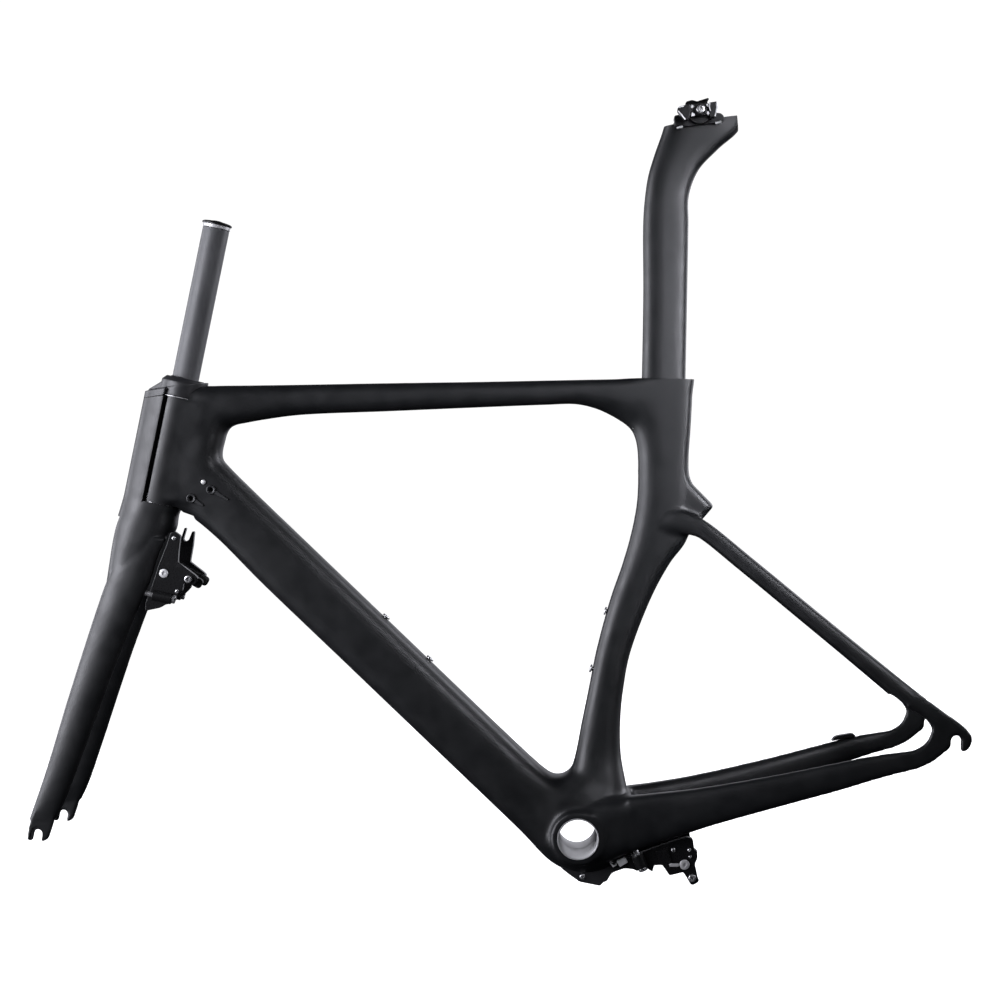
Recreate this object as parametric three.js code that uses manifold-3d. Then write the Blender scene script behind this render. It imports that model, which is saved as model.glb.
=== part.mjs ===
// Aero road bicycle frameset: frame, fork, headset, seatpost with saddle clamp, two direct-mount brakes.
// Millimetres. Origin at the bottom bracket centre, +X to the rear wheel, +Y to the drive side, +Z up.
import * as THREE from 'three';
import { mergeVertices } from 'three/addons/utils/BufferGeometryUtils.js';
import Module from 'manifold-3d';

// ---------------------------------------------------------------- driving dimensions
const GAP = 0.3;                                   // kept between solids that touch
const HEAD_ANGLE = THREE.MathUtils.degToRad(72);   // steering axis from the ground
const AXIS_OFFSET = -512.95;                       // steering axis, measured square to itself from the origin
const FRONT_AXLE = [-563.7, 68];                   // x, z
const REAR_AXLE = [400.3, 68];
const FRONT_HUB_HALF = 50;                         // half the hub width between the dropouts
const REAR_HUB_HALF = 65;
const DROPOUT_THICKNESS = 7;
const HEAD_BOTTOM = 254;                           // head tube's lower face, as a station on that axis
const HEAD_TOP = 369;
const STEERER_TOP = 554;
const STEERER_RADIUS = 14.3;
const HEAD_TUBE_RADIUS = 26;
const NOSE_INNER_RADIUS = 27.4;
const NOSE_REACH = 39.7;                           // fork nose front face ahead of the steering axis
const NOSE_HALF_WIDTH = 24.8;
const NOSE_REAR = -15;                             // rear edge of the nose's sides
const FLANK_FRONT = -10;                           // front edge of the frame's flanks beside the head tube
const BB_HALF_WIDTH = 43.25;
const BB_SLEEVE_RADIUS = 22;
const BB_SLEEVE_BORE = 20.5;
const BB_BOSS_RADIUS = 29;
const TYRE_CLEARANCE_FRONT = 341;                  // radius of the wheel space about each axle
const TYRE_HALF_GAP = 16.5;
const POST_LEAN = THREE.MathUtils.degToRad(7.1);   // seatpost axis back from vertical
const POST_AXIS_X = 83.9;                          // where the seatpost axis line meets z = 0
const POST_DEPTH = 46;
const POST_HALF_WIDTH = 12;
const POST_BOTTOM = 388;
const SOCKET_BOTTOM = 314;
const RAIL_HALF_SPACING = 22;                      // saddle rails each side of the middle
const RAIL_RADIUS = 3.5;
const JAW_OUTER = 30.5;
const CLAMP_PIVOT = [209, 750];                    // transverse saddle clamp bolt, x and z
const FRONT_PIVOT = { behind: 24, station: 158, y: 27 };
const REAR_PIVOT = { x: 62, z: -31, y: 30 };
const REAR_PIVOT_UP = [-0.284, 0.959];             // rear brake pivots lean forward, square to the chainstay
const PIVOT_BOLT_RADIUS = 3;
const PIVOT_HEAD_RADIUS = 4.8;
const BRAKE_ARM_INNER = 21;
const BRAKE_ARM_OUTER = 29;
const PAD_INNER = 12.6;                            // rubber face from the middle plane, brake open
const PAD_STUD_RADIUS = 2.2;
const FRONT_PAD_BOLT = { behind: 51.4, station: 182.5 };
const REAR_PAD_BOLT = [116, -56.2];                // x, z

// ---------------------------------------------------------------- materials
function finish(color, roughness, metalness) {
  return new THREE.MeshStandardMaterial({ color, roughness, metalness });
}

const CARBON = finish(0x1d1e20, 0.5, 0.1);
const RAW_CARBON = finish(0x3a3b3d, 0.6, 0.1);
const ALLOY = finish(0xb8b9ba, 0.35, 0.9);
const BLACK_ALLOY = finish(0x151617, 0.4, 0.7);
const STEEL = finish(0xc9cacb, 0.25, 1.0);
const RUBBER = finish(0x101010, 0.8, 0.0);
const PLASTIC = finish(0x18191a, 0.55, 0.0);

// ---------------------------------------------------------------- solids
const wasm = await Module();
wasm.setup();

function positionsOnly(geometry) {
  const plain = geometry.clone();
  plain.deleteAttribute('normal');
  plain.deleteAttribute('uv');
  return mergeVertices(plain, 1e-4);
}

function toManifold(geometry) {
  const merged = positionsOnly(geometry);
  const mesh = new wasm.Mesh({
    numProp: 3,
    vertProperties: new Float32Array(merged.attributes.position.array),
    triVerts: new Uint32Array(merged.index.array),
  });
  return new wasm.Manifold(mesh);
}

function toGeometry(manifold) {
  const mesh = manifold.getMesh();
  const geometry = new THREE.BufferGeometry();
  geometry.setAttribute('position', new THREE.BufferAttribute(new Float32Array(mesh.vertProperties), 3));
  geometry.setIndex(new THREE.BufferAttribute(new Uint32Array(mesh.triVerts), 1));
  return geometry;
}

function join(first, ...others) {
  let solid = toManifold(first);
  for (const other of others) solid = solid.add(toManifold(other));
  return toGeometry(solid);
}

function cut(first, ...tools) {
  let solid = toManifold(first);
  for (const tool of tools) solid = solid.subtract(toManifold(tool));
  return toGeometry(solid);
}

function mirrorY(geometry) {
  const flipped = positionsOnly(geometry);
  flipped.scale(1, -1, 1);
  const index = flipped.index.array;
  for (let i = 0; i < index.length; i += 3) {
    [index[i], index[i + 1]] = [index[i + 1], index[i]];
  }
  return flipped;
}

// ---------------------------------------------------------------- placing helpers
const SIN = Math.sin(HEAD_ANGLE);
const COS = Math.cos(HEAD_ANGLE);

// A point given by its station along the steering axis and its distance behind that axis.
function steer(behind, station) {
  const across = AXIS_OFFSET + behind;
  return [COS * station + SIN * across, SIN * station - COS * across];
}

// Moves a geometry made about +Z at the origin onto the steering axis, station along Z, rear along X.
function ontoSteeringAxis(geometry) {
  const [x, z] = steer(0, 0);
  geometry.rotateY(Math.PI / 2 - HEAD_ANGLE);
  geometry.translate(x, 0, z);
  return geometry;
}

// Turns a geometry made about +Y so that its axis runs from one point to another.
function alongLine(geometry, from, to) {
  const start = new THREE.Vector3(...from);
  const end = new THREE.Vector3(...to);
  const direction = end.clone().sub(start).normalize();
  const turn = new THREE.Quaternion().setFromUnitVectors(new THREE.Vector3(0, 1, 0), direction);
  geometry.applyQuaternion(turn);
  geometry.translate(start.x, start.y, start.z);
  return geometry;
}

function rod(from, to, radius, sides = 16) {
  const length = new THREE.Vector3(...to).distanceTo(new THREE.Vector3(...from));
  const cylinder = new THREE.CylinderGeometry(radius, radius, length, sides);
  cylinder.translate(0, length / 2, 0);
  return alongLine(cylinder, from, to);
}

function turned(profile, sides) {
  return facesOut(new THREE.LatheGeometry(profile.map(([r, y]) => new THREE.Vector2(r, y)), sides));
}

// A turned piece whose profile is given as radius and station on the steering axis.
function turnedOnSteeringAxis(profile, sides) {
  const geometry = turned(profile, sides);
  geometry.rotateX(Math.PI / 2);
  return ontoSteeringAxis(geometry);
}

// A solid cylinder on the steering axis, between two stations.
function onAxisCylinder(radius, low, high, sides = 32) {
  return turnedOnSteeringAxis([[0, low], [radius, low], [radius, high], [0, high]], sides);
}

function shapeOf(points) {
  return new THREE.Shape(points.map(([a, b]) => new THREE.Vector2(a, b)));
}

// An outline in x and z, thickened along Y from yLow to yHigh.
function plate(outline, yLow, yHigh, curveSegments = 6) {
  const shape = outline instanceof THREE.Shape ? outline : shapeOf(outline);
  const geometry = new THREE.ExtrudeGeometry(shape, {
    depth: yHigh - yLow, bevelEnabled: false, curveSegments,
  });
  geometry.rotateX(Math.PI / 2);
  geometry.translate(0, yHigh, 0);
  return geometry;
}

// An outline in behind and y, thickened along the steering axis.
function steeringPlate(outline, stationLow, stationHigh, curveSegments = 8) {
  const shape = outline instanceof THREE.Shape ? outline : shapeOf(outline);
  const geometry = new THREE.ExtrudeGeometry(shape, {
    depth: stationHigh - stationLow, bevelEnabled: false, curveSegments,
  });
  geometry.translate(0, 0, stationLow);
  return ontoSteeringAxis(geometry);
}

// A block across the whole width, between two distances behind the steering axis and two stations.
function acrossBand(behindLow, behindHigh, stationLow, stationHigh) {
  return steeringPlate(
    [[behindLow, -60], [behindHigh, -60], [behindHigh, 60], [behindLow, 60]], stationLow, stationHigh,
  );
}

function box(xLow, xHigh, yLow, yHigh, zLow, zHigh) {
  const geometry = new THREE.BoxGeometry(xHigh - xLow, yHigh - yLow, zHigh - zLow);
  geometry.translate((xLow + xHigh) / 2, (yLow + yHigh) / 2, (zLow + zHigh) / 2);
  return geometry;
}

// ---------------------------------------------------------------- lofted tubes
// A station is [x, z of one edge, x, z of the other edge, y of the centre, half width, squareness].
const HALF_WIDTH_COLUMN = 5;
function loft(stations, { sides, steps, closed = false }) {
  const edgeA = stations.map(([x, z]) => new THREE.Vector3(x, 0, z));
  const edgeB = stations.map(([, , x, z]) => new THREE.Vector3(x, 0, z));
  const widths = stations.map(([, , , , y, half, power]) => new THREE.Vector3(y, half, power));
  const curves = [edgeA, edgeB, widths].map(
    (points) => new THREE.CatmullRomCurve3(points, closed, 'centripetal'),
  );
  const spans = closed ? stations.length : stations.length - 1;
  const rings = closed ? spans * steps : spans * steps + 1;
  const positions = [];
  for (let ring = 0; ring < rings; ring += 1) {
    const t = ring / (spans * steps);
    const [a, b, width] = curves.map((curve) => curve.getPoint(t));
    const centre = a.clone().add(b).multiplyScalar(0.5);
    const reach = b.clone().sub(a).multiplyScalar(0.5);
    for (let side = 0; side < sides; side += 1) {
      const angle = (2 * Math.PI * side) / sides;
      const along = Math.sign(Math.cos(angle)) * Math.abs(Math.cos(angle)) ** (2 / width.z);
      const across = Math.sign(Math.sin(angle)) * Math.abs(Math.sin(angle)) ** (2 / width.z);
      positions.push(centre.x + reach.x * along, width.x + width.y * across, centre.z + reach.z * along);
    }
  }
  const index = [];
  const lastRing = closed ? rings : rings - 1;
  for (let ring = 0; ring < lastRing; ring += 1) {
    for (let side = 0; side < sides; side += 1) {
      const next = (side + 1) % sides;
      const here = ring * sides;
      const there = ((ring + 1) % rings) * sides;
      index.push(here + side, there + side, there + next);
      index.push(here + side, there + next, here + next);
    }
  }
  if (!closed) {
    const end = (rings - 1) * sides;
    for (let side = 1; side < sides - 1; side += 1) {
      index.push(0, side, side + 1);
      index.push(end, end + side + 1, end + side);
    }
  }
  const geometry = new THREE.BufferGeometry();
  geometry.setAttribute('position', new THREE.Float32BufferAttribute(positions, 3));
  geometry.setIndex(index);
  return facesOut(geometry);
}

// Flips every face of a closed geometry if its volume comes out negative.
function facesOut(geometry) {
  const p = geometry.attributes.position;
  const index = geometry.index.array;
  const [a, b, c] = [new THREE.Vector3(), new THREE.Vector3(), new THREE.Vector3()];
  let volume = 0;
  for (let i = 0; i < index.length; i += 3) {
    a.fromBufferAttribute(p, index[i]);
    b.fromBufferAttribute(p, index[i + 1]);
    c.fromBufferAttribute(p, index[i + 2]);
    volume += a.dot(b.cross(c));
  }
  if (volume < 0) {
    for (let i = 0; i < index.length; i += 3) {
      [index[i], index[i + 1]] = [index[i + 1], index[i]];
    }
  }
  return geometry;
}

// ---------------------------------------------------------------- frame
// Round the main triangle: edge facing the hole, then the outer edge.
const MAIN_RING = [
  [-250, 477.5, -252, 510.5, 0, 17, 2.6],
  [-150, 471, -150, 501.3, 0, 16, 2.6],
  [-50, 464.5, -50, 492, 0, 15, 2.6],
  [15, 460, 22, 485.7, 0, 14.5, 2.6],
  [48, 457, 64, 482, 0, 15, 2.6],
  [70, 449, 100, 479, 0, 16, 2.6],
  [88, 437.5, 140, 479, 0, 16.5, 3],
  [98, 429, 174, 479, 0, 16.5, 3],
  [104, 421, 171, 452, 0, 16.5, 3],
  [107, 406, 166, 420, 0, 16.5, 3],
  [105, 375, 160, 384, 0, 16.5, 3],
  [100.5, 345, 158, 350, 0, 17, 2.8],
  [90.5, 312, 151, 303, 0, 16.5, 2.6],
  [77.5, 280, 129, 277, 0, 15.5, 2.5],
  [62, 247, 107, 245, 0, 15, 2.5],
  [41, 193, 77, 186, 0, 15, 2.5],
  [28.5, 153, 66, 150, 0, 15.5, 2.5],
  [17, 117, 59, 116, 0, 16.5, 2.5],
  [7, 84, 55.5, 78, 0, 19, 2.5],
  [1, 70, 58, 40, 0, 25, 2.6],
  [-5, 65, 58, 0, 0, 32, 3],
  [-12, 63, 40, -36, 0, 36, 3],
  [-20, 64.5, 5, -45, 0, 36, 3],
  [-28, 71, -27, -32, 0, 33, 3],
  [-40, 84, -64, 12, 0, 29, 3],
  [-100, 154.5, -149.5, 113, 0, 24, 3],
  [-180, 249.5, -229.5, 208, 0, 23, 3],
  [-260, 344.5, -309.5, 303, 0, 23.5, 3],
  [-310, 404, -352, 356, 0, 24, 3],
  [-331, 430, -378, 382, 0, 24.5, 3],
  [-337, 439, -400, 396, 0, 25, 3],
  [-337, 446, -404, 422, 0, 25, 3],
  [-333, 458, -397, 452, 0, 25, 3],
  [-328, 469, -387, 487, 0, 24, 3],
  [-322, 473.5, -374, 520, 0, 23.5, 3],
  [-308, 475.3, -338, 518.5, 0, 22, 3],
  [-285, 476.8, -298, 514.8, 0, 19, 2.8],
];

const DOWN_TUBE_UP = [0.765, 0.644];    // square to the down tube, into the main triangle
const SEAT_TUBE_FORWARD = [-0.939, 0.345];

const BOTTLE_BOLTS = [
  { name: 'bottle_bolt_downtube_upper', at: [-181, 251], out: DOWN_TUBE_UP },
  { name: 'bottle_bolt_downtube_lower', at: [-139, 201.2], out: DOWN_TUBE_UP },
  { name: 'bottle_bolt_seattube_upper', at: [56.5, 233], out: SEAT_TUBE_FORWARD },
  { name: 'bottle_bolt_seattube_lower', at: [34.5, 173], out: SEAT_TUBE_FORWARD },
];
const BOTTLE_BOLT_RADIUS = 2.5;
const BOTTLE_BOLT_DEPTH = 9;

function offsetPoint([x, z], [dx, dz], distance, y = 0) {
  return [x + dx * distance, y, z + dz * distance];
}

// A rod square to the tube at a bottle bolt, between two heights above the tube's face.
function bottleRod({ at, out }, low, high, radius, sides) {
  return rod(offsetPoint(at, out, low), offsetPoint(at, out, high), radius, sides);
}

function bottleHole(bolt) {
  return bottleRod(bolt, -BOTTLE_BOLT_DEPTH - 1, 6, BOTTLE_BOLT_RADIUS + GAP, 10);
}

function bottleBolt(bolt) {
  const head = bottleRod(bolt, 0.8, 2.8, 4.4, 14);
  const shank = bottleRod(bolt, -BOTTLE_BOLT_DEPTH, 1.2, BOTTLE_BOLT_RADIUS, 10);
  const socket = bottleRod(bolt, 1.4, 4, 1.6, 6);
  return cut(join(head, shank), socket);
}

// Fairing behind the seat tube where the seatstays meet.
function seatstayFairing() {
  const outline = [
    [120, 372], [157, 378], [161, 360], [182, 333.5], [168, 320.5], [150, 304], [120, 316],
  ];
  return plate(outline, -12, 12);
}

// Broad block round the bottom bracket, ending where the chainstays start.
const STAY_JOINT_X = 62;
const BB_BLOCK = [
  [-31, 10, -31, -12, 0, 36, 3],
  [-22, 25, -22, -27, 0, 41, 3.4],
  [0, 33, 2, -33, 0, 42.5, 4],
  [30, 37, 30, -31, 0, 42.8, 4.5],
  [STAY_JOINT_X, 38, STAY_JOINT_X, -21, 0, 43, 5],
];

function seatpostLine(z) {
  return POST_AXIS_X + Math.tan(POST_LEAN) * z;
}

function postSection(z, grow) {
  const x = seatpostLine(z);
  const half = POST_DEPTH / 2 / Math.cos(POST_LEAN) + grow;
  const slope = Math.sin(POST_LEAN) * half;
  return [x - half, z + slope, x + half, z - slope, 0, POST_HALF_WIDTH + grow, 2.6];
}

const POST_CLEARANCE = 0.4;
const ABOVE_TOP_TUBE = 500;

function seatpostSocket() {
  const ends = [SOCKET_BOTTOM, ABOVE_TOP_TUBE].map((z) => postSection(z, POST_CLEARANCE));
  return loft(ends, { sides: 24, steps: 1 });
}

// Wedge clamp in front of the seatpost, drawn up by a screw from the top tube.
const WEDGE = { top: 458, bottom: 430, halfWidth: 7, depth: 8 };
const leaned = (geometry) => {
  geometry.rotateY(POST_LEAN);
  geometry.translate(POST_AXIS_X, 0, 0);
  return geometry;
};
const WEDGE_REAR = -POST_DEPTH / 2 - POST_CLEARANCE - GAP;
const WEDGE_SCREW_BEHIND = WEDGE_REAR - WEDGE.depth / 2;

function wedgePocket() {
  const halfWidth = WEDGE.halfWidth + GAP;
  return leaned(box(
    WEDGE_REAR - WEDGE.depth - GAP, WEDGE_REAR + 4, -halfWidth, halfWidth, WEDGE.bottom - 6, ABOVE_TOP_TUBE,
  ));
}

function seatpostWedge() {
  const block = leaned(box(
    WEDGE_REAR - WEDGE.depth, WEDGE_REAR, -WEDGE.halfWidth, WEDGE.halfWidth, WEDGE.bottom, WEDGE.top,
  ));
  const bore = leaned(standing(2.8, WEDGE.bottom - 2, WEDGE.top + 2, WEDGE_SCREW_BEHIND, 10));
  return cut(block, bore);
}

function standing(radius, zLow, zHigh, x, sides) {
  return rod([x, 0, zLow], [x, 0, zHigh], radius, sides);
}

function wedgeScrew() {
  const head = leaned(standing(3.6, WEDGE.top + GAP, WEDGE.top + 4.5, WEDGE_SCREW_BEHIND, 14));
  const shank = leaned(standing(2.4, WEDGE.bottom + 1, WEDGE.top + 1, WEDGE_SCREW_BEHIND, 10));
  const socket = leaned(standing(1.6, WEDGE.top + 2.2, WEDGE.top + 6, WEDGE_SCREW_BEHIND, 6));
  return cut(join(head, shank), socket);
}

// Turning clearance under the head tube: everything below it is free for the fork crown.
const CROWN_CLEARANCE = [
  [0, HEAD_BOTTOM], [28.5, HEAD_BOTTOM], [31.5, 249.6], [44, 248.4], [44, 215], [0, 215],
];

// Headset seats: bearing outer radius, and depth from each face of the head tube.
const UPPER_BEARING = { outer: 20.9, inner: 15.3, low: HEAD_TOP - 8, high: HEAD_TOP - 1 };
const LOWER_BEARING = { outer: 23, inner: 17.8, low: HEAD_BOTTOM + 1, high: HEAD_BOTTOM + 9 };
const HEAD_BORE = 16.5;

function headTubeBore() {
  return turnedOnSteeringAxis([
    [0, HEAD_BOTTOM - 20],
    [LOWER_BEARING.outer + GAP, HEAD_BOTTOM - 20],
    [LOWER_BEARING.outer + GAP, LOWER_BEARING.high + GAP],
    [LOWER_BEARING.outer - 1.5, LOWER_BEARING.high + GAP],
    [HEAD_BORE, LOWER_BEARING.high + 10],
    [HEAD_BORE, UPPER_BEARING.low - 10],
    [UPPER_BEARING.outer - 1.5, UPPER_BEARING.low - GAP],
    [UPPER_BEARING.outer + GAP, UPPER_BEARING.low - GAP],
    [UPPER_BEARING.outer + GAP, HEAD_TOP + 40],
    [0, HEAD_TOP + 40],
  ], 24);
}

const COVER_RADIUS = 25;
const COVER_POCKET_START = 11.5;          // the raised rear corner of the frame starts here, behind the axis
const CABLE_PORTS = {
  cable_port_upper: { x: -349, z: 408, tail: [0.83, -0.56], tailLength: 15 },
  cable_port_lower: { x: -371, z: 402, tail: [0.83, -0.56], tailLength: 10 },
};
const PORT_FACE_Y = -24.6;
const PORT_RADIUS = 4.4;
const PORT_NECK = 0.5;                    // angle from the tail to where the round part starts
const PORT_SCREW = [-356, 417];

function portOutline({ x, z, tail, tailLength }, grow) {
  const radius = PORT_RADIUS + grow;
  const heading = Math.atan2(tail[1], tail[0]);
  const tip = 1.1 + grow;
  const [tx, tz] = [x + tail[0] * tailLength, z + tail[1] * tailLength];
  const shape = new THREE.Shape();
  shape.absarc(x, z, radius, heading + PORT_NECK, heading - PORT_NECK + 2 * Math.PI, false);
  shape.absarc(tx, tz, tip, heading - 1.2, heading + 1.2, false);
  return shape;
}

function cablePort(port) {
  const body = plate(portOutline(port, 0), PORT_FACE_Y - 1, PORT_FACE_Y + 3);
  const hole = rod([port.x, PORT_FACE_Y - 5, port.z], [port.x, PORT_FACE_Y + 8, port.z], 2.2, 12);
  return cut(body, hole);
}

function cablePortPocket(port) {
  const pocket = plate(portOutline(port, GAP), PORT_FACE_Y - 6, PORT_FACE_Y + 3 + GAP);
  const bore = rod([port.x, PORT_FACE_Y - 6, port.z], [port.x, PORT_FACE_Y + 12, port.z], 2.2, 12);
  return join(pocket, bore);
}

function portScrew() {
  const [x, z] = PORT_SCREW;
  const head = rod([x, PORT_FACE_Y - 1.6, z], [x, PORT_FACE_Y - 0.2, z], 2.3, 12);
  const shank = rod([x, PORT_FACE_Y - 0.6, z], [x, PORT_FACE_Y + 5, z], 1.2, 8);
  return join(head, shank);
}

// A point on a rear brake pivot's line, by its distance up that line.
function rearPivotPoint(distance, side) {
  return offsetPoint([REAR_PIVOT.x, REAR_PIVOT.z], REAR_PIVOT_UP, distance, side * REAR_PIVOT.y);
}

function rearPivotHole(side) {
  return rod(rearPivotPoint(-12, side), rearPivotPoint(20, side), PIVOT_BOLT_RADIUS + GAP, 10);
}

function frontTriangle() {
  const ring = loft(MAIN_RING, { sides: 16, steps: 1, closed: true });
  const headTube = onAxisCylinder(HEAD_TUBE_RADIUS, HEAD_BOTTOM - 10, HEAD_TOP);
  const bbBlock = loft(BB_BLOCK, { sides: 20, steps: 1 });
  const bbShell = rod([0, -BB_HALF_WIDTH, 0], [0, BB_HALF_WIDTH, 0], BB_BOSS_RADIUS, 32);
  const body = join(ring, headTube, bbBlock, bbShell, seatstayFairing());

  const aboveHead = acrossBand(-80, COVER_POCKET_START, HEAD_TOP, HEAD_TOP + 60);
  const coverPocket = onAxisCylinder(COVER_RADIUS + 0.5, HEAD_TOP, HEAD_TOP + 60);
  const aheadOfHead = cut(
    acrossBand(-80, FLANK_FRONT, 200, 400), onAxisCylinder(HEAD_TUBE_RADIUS, 190, 410),
  );
  const aboveCollar = plate([[117.5, 477.4], [180, 469.3], [200, 520], [117.5, 520]], -40, 40);
  const bbBore = rod([0, -60, 0], [0, 60, 0], BB_SLEEVE_RADIUS + GAP, 32);
  const [screwX, screwZ] = PORT_SCREW;
  const screwHole = join(
    rod([screwX, -40, screwZ], [screwX, PORT_FACE_Y + 7, screwZ], 1.5, 8),
    rod([screwX, -40, screwZ], [screwX, PORT_FACE_Y + 0.1, screwZ], 2.7, 10),
  );
  const coverScrewHole = rod([-2, 0, -70], [-2, 0, -34], 2 + GAP, 8);
  const crownClearance = turnedOnSteeringAxis(CROWN_CLEARANCE, 32);
  const tools = [
    aboveHead, coverPocket, aheadOfHead, crownClearance, headTubeBore(), aboveCollar, bbBore,
    seatpostSocket(), wedgePocket(), screwHole, coverScrewHole,
    rearPivotHole(-1), rearPivotHole(1),
    ...BOTTLE_BOLTS.map(bottleHole),
    ...Object.values(CABLE_PORTS).map(cablePortPocket),
    box(STAY_JOINT_X, 120, -60, 60, -60, 60),
  ];
  return cut(body, ...tools);
}

// Seatstay on the left; the first stations form the pod on the side of the seat tube.
const SEATSTAY = [
  [152.5, 329, 147, 309, -19, 5.5, 2.2],
  [168, 321, 161.5, 302, -21.5, 5.6, 2.3],
  [218, 271.5, 206, 259, -33.5, 5.5, 2.4],
  [275, 213, 263, 201, -47, 5.4, 2.4],
  [322, 165.5, 310, 153, -58.5, 5.2, 2.4],
  [369.6, 118, 354.8, 106.4, -68.5, 3.8, 2.6],
];
const CHAINSTAY = [
  [STAY_JOINT_X + GAP, 38, STAY_JOINT_X + GAP, -20, -29.5, 13.3, 4],
  [92, 38.5, 92, -13, -33, 12, 3.5],
  [135, 40.5, 137, -1.5, -39.5, 10.5, 3],
  [214, 48, 217, 14.8, -51, 8.5, 2.8],
  [274, 55.5, 279, 27, -60, 7, 2.8],
  [310, 60, 317, 35.4, -65, 5.8, 2.8],
  [350, 62.5, 352, 41.4, -68.5, 3.6, 3],
];

function seatstay(frame) {
  const tube = loft(SEATSTAY, { sides: 12, steps: 2 });
  return largestPiece(toManifold(tube).subtract(toManifold(frame)));
}

function chainstay() {
  return cut(loft(CHAINSTAY, { sides: 16, steps: 2 }), rearPivotHole(-1));
}

function largestPiece(manifold) {
  const pieces = manifold.decompose();
  pieces.sort((a, b) => b.volume() - a.volume());
  return toGeometry(pieces[0]);
}

// Rear dropout plate: arms to both stays and a vertical slot open below.
function rearDropout() {
  const shape = new THREE.Shape();
  const [ax, az] = REAR_AXLE;
  shape.moveTo(352.4, 62.6);
  shape.lineTo(352.8, 41.6);
  shape.quadraticCurveTo(374, 46, 386, 56);
  shape.quadraticCurveTo(394, 59, 394.9, az - 4);
  shape.lineTo(ax - 5, az);
  shape.absarc(ax, az, 5, Math.PI, 0, true);
  shape.lineTo(ax + 4.2, az - 6);
  shape.quadraticCurveTo(ax + 1, 55, ax + 5, 54.5);
  shape.quadraticCurveTo(417, 57, 417, 70);
  shape.quadraticCurveTo(415, 78, 402, 89);
  shape.lineTo(370.8, 117);
  shape.lineTo(356, 105.4);
  shape.quadraticCurveTo(376, 87, 371, 78);
  shape.quadraticCurveTo(366, 65.5, 352.4, 62.6);
  return plate(shape, -REAR_HUB_HALF - DROPOUT_THICKNESS, -REAR_HUB_HALF, 5);
}

function bbSleeve() {
  const half = BB_HALF_WIDTH + 0.4;
  return turned([
    [BB_SLEEVE_BORE, -half], [BB_SLEEVE_RADIUS, -half], [BB_SLEEVE_RADIUS, half], [BB_SLEEVE_BORE, half],
    [BB_SLEEVE_BORE, -half],
  ], 40);
}

// Cover over the cable guides under the bottom bracket.
function bbCableCover(frame) {
  const outline = [
    [-22, -33], [-14, -41], [-3, -50.5], [18, -57], [22, -53.5], [26, -52.5], [31, -45.5], [35, -43.5],
    [46, -41], [46, -30], [-10, -30],
  ];
  const blank = plate(outline, -21, 21);
  const clearance = toManifold(frame);
  const screw = toManifold(rod([-2, 0, -70], [-2, 0, -30], 2 + GAP, 8));
  return largestPiece(toManifold(blank).subtract(clearance).subtract(screw));
}

function bbCoverScrew() {
  const head = rod([-2, 0, -54.5], [-2, 0, -51.6], 3.4, 14);
  const shank = rod([-2, 0, -52], [-2, 0, -36], 2, 8);
  return join(head, shank);
}

function derailleurCableStop() {
  const outline = [[290, 58.4], [293, 62], [297, 63.6], [313, 64.6], [316, 63], [317, 60.6]];
  const block = plate(outline, 60, 68);
  const cableHole = rod([280, 64, 61], [330, 64, 64], 1.3, 8);
  return cut(block, cableHole);
}

// ---------------------------------------------------------------- headset
function bearing({ outer, inner, low, high }) {
  return turnedOnSteeringAxis([
    [inner, low], [outer - 0.8, low], [outer, low + 0.8], [outer, high - 0.8], [outer - 0.8, high],
    [inner, high], [inner, low],
  ], 24);
}

function crownRace() {
  return turnedOnSteeringAxis([
    [STEERER_RADIUS + 1.5, HEAD_BOTTOM - 1.6], [22.4, HEAD_BOTTOM - 1.6], [22.4, HEAD_BOTTOM - 0.2],
    [17.4, HEAD_BOTTOM + 0.6], [17.4, HEAD_BOTTOM + 4], [STEERER_RADIUS + 1.5, HEAD_BOTTOM + 4],
    [STEERER_RADIUS + 1.5, HEAD_BOTTOM - 1.6],
  ], 24);
}

function compressionRing() {
  return turnedOnSteeringAxis([
    [STEERER_RADIUS + GAP, HEAD_TOP - 5], [15, HEAD_TOP - 5], [15, HEAD_TOP - 0.7], [19.5, HEAD_TOP - 0.7],
    [19.5, HEAD_TOP + 0.3], [STEERER_RADIUS + GAP, HEAD_TOP + 0.3], [STEERER_RADIUS + GAP, HEAD_TOP - 5],
  ], 24);
}

// Plan outline of the fork nose and the cover: rounded front, sides running back to the axis.
function noseOutline(rear) {
  const shape = new THREE.Shape();
  shape.moveTo(rear, -NOSE_HALF_WIDTH);
  shape.bezierCurveTo(-22, -22.8, -NOSE_REACH, -16, -NOSE_REACH, 0);
  shape.bezierCurveTo(-NOSE_REACH, 16, -22, 22.8, rear, NOSE_HALF_WIDTH);
  return shape;
}

function headsetCover() {
  const low = HEAD_TOP + 0.6;
  const brim = steeringPlate(noseOutline(NOSE_REAR + 1), 355, 392, 6);
  const round = onAxisCylinder(COVER_RADIUS, low, 392, 28);
  const cone = turnedOnSteeringAxis(
    [[0, 376], [24.5, 376], [24.5, 385.5], [20, 390.2], [0, 390.2]], 28,
  );
  const slab = cut(join(brim, round), slopedTop(-60, 360.9, 40, 396.2));
  const ridge = cut(
    steeringPlate([[-36, -4], [-12, -17], [0, -17], [0, 17], [-12, 17], [-36, 4]], 368, 391),
    slopedTop(-70, 343.2, -13, 390.4), slopedTop(-13, 390.4, 40, 389.8),
  );
  const bore = onAxisCylinder(STEERER_RADIUS + GAP, 340, 400, 24);
  return cut(
    join(slab, cone, ridge), slopedUnder(), belowCover(low), overHeadTube(low), bore,
    coverScrewRod(-3.6, 9.4, 2.6 + GAP, 12), coverScrewRod(-11, 2, 1.3 + GAP, 12),
  );
}

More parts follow.
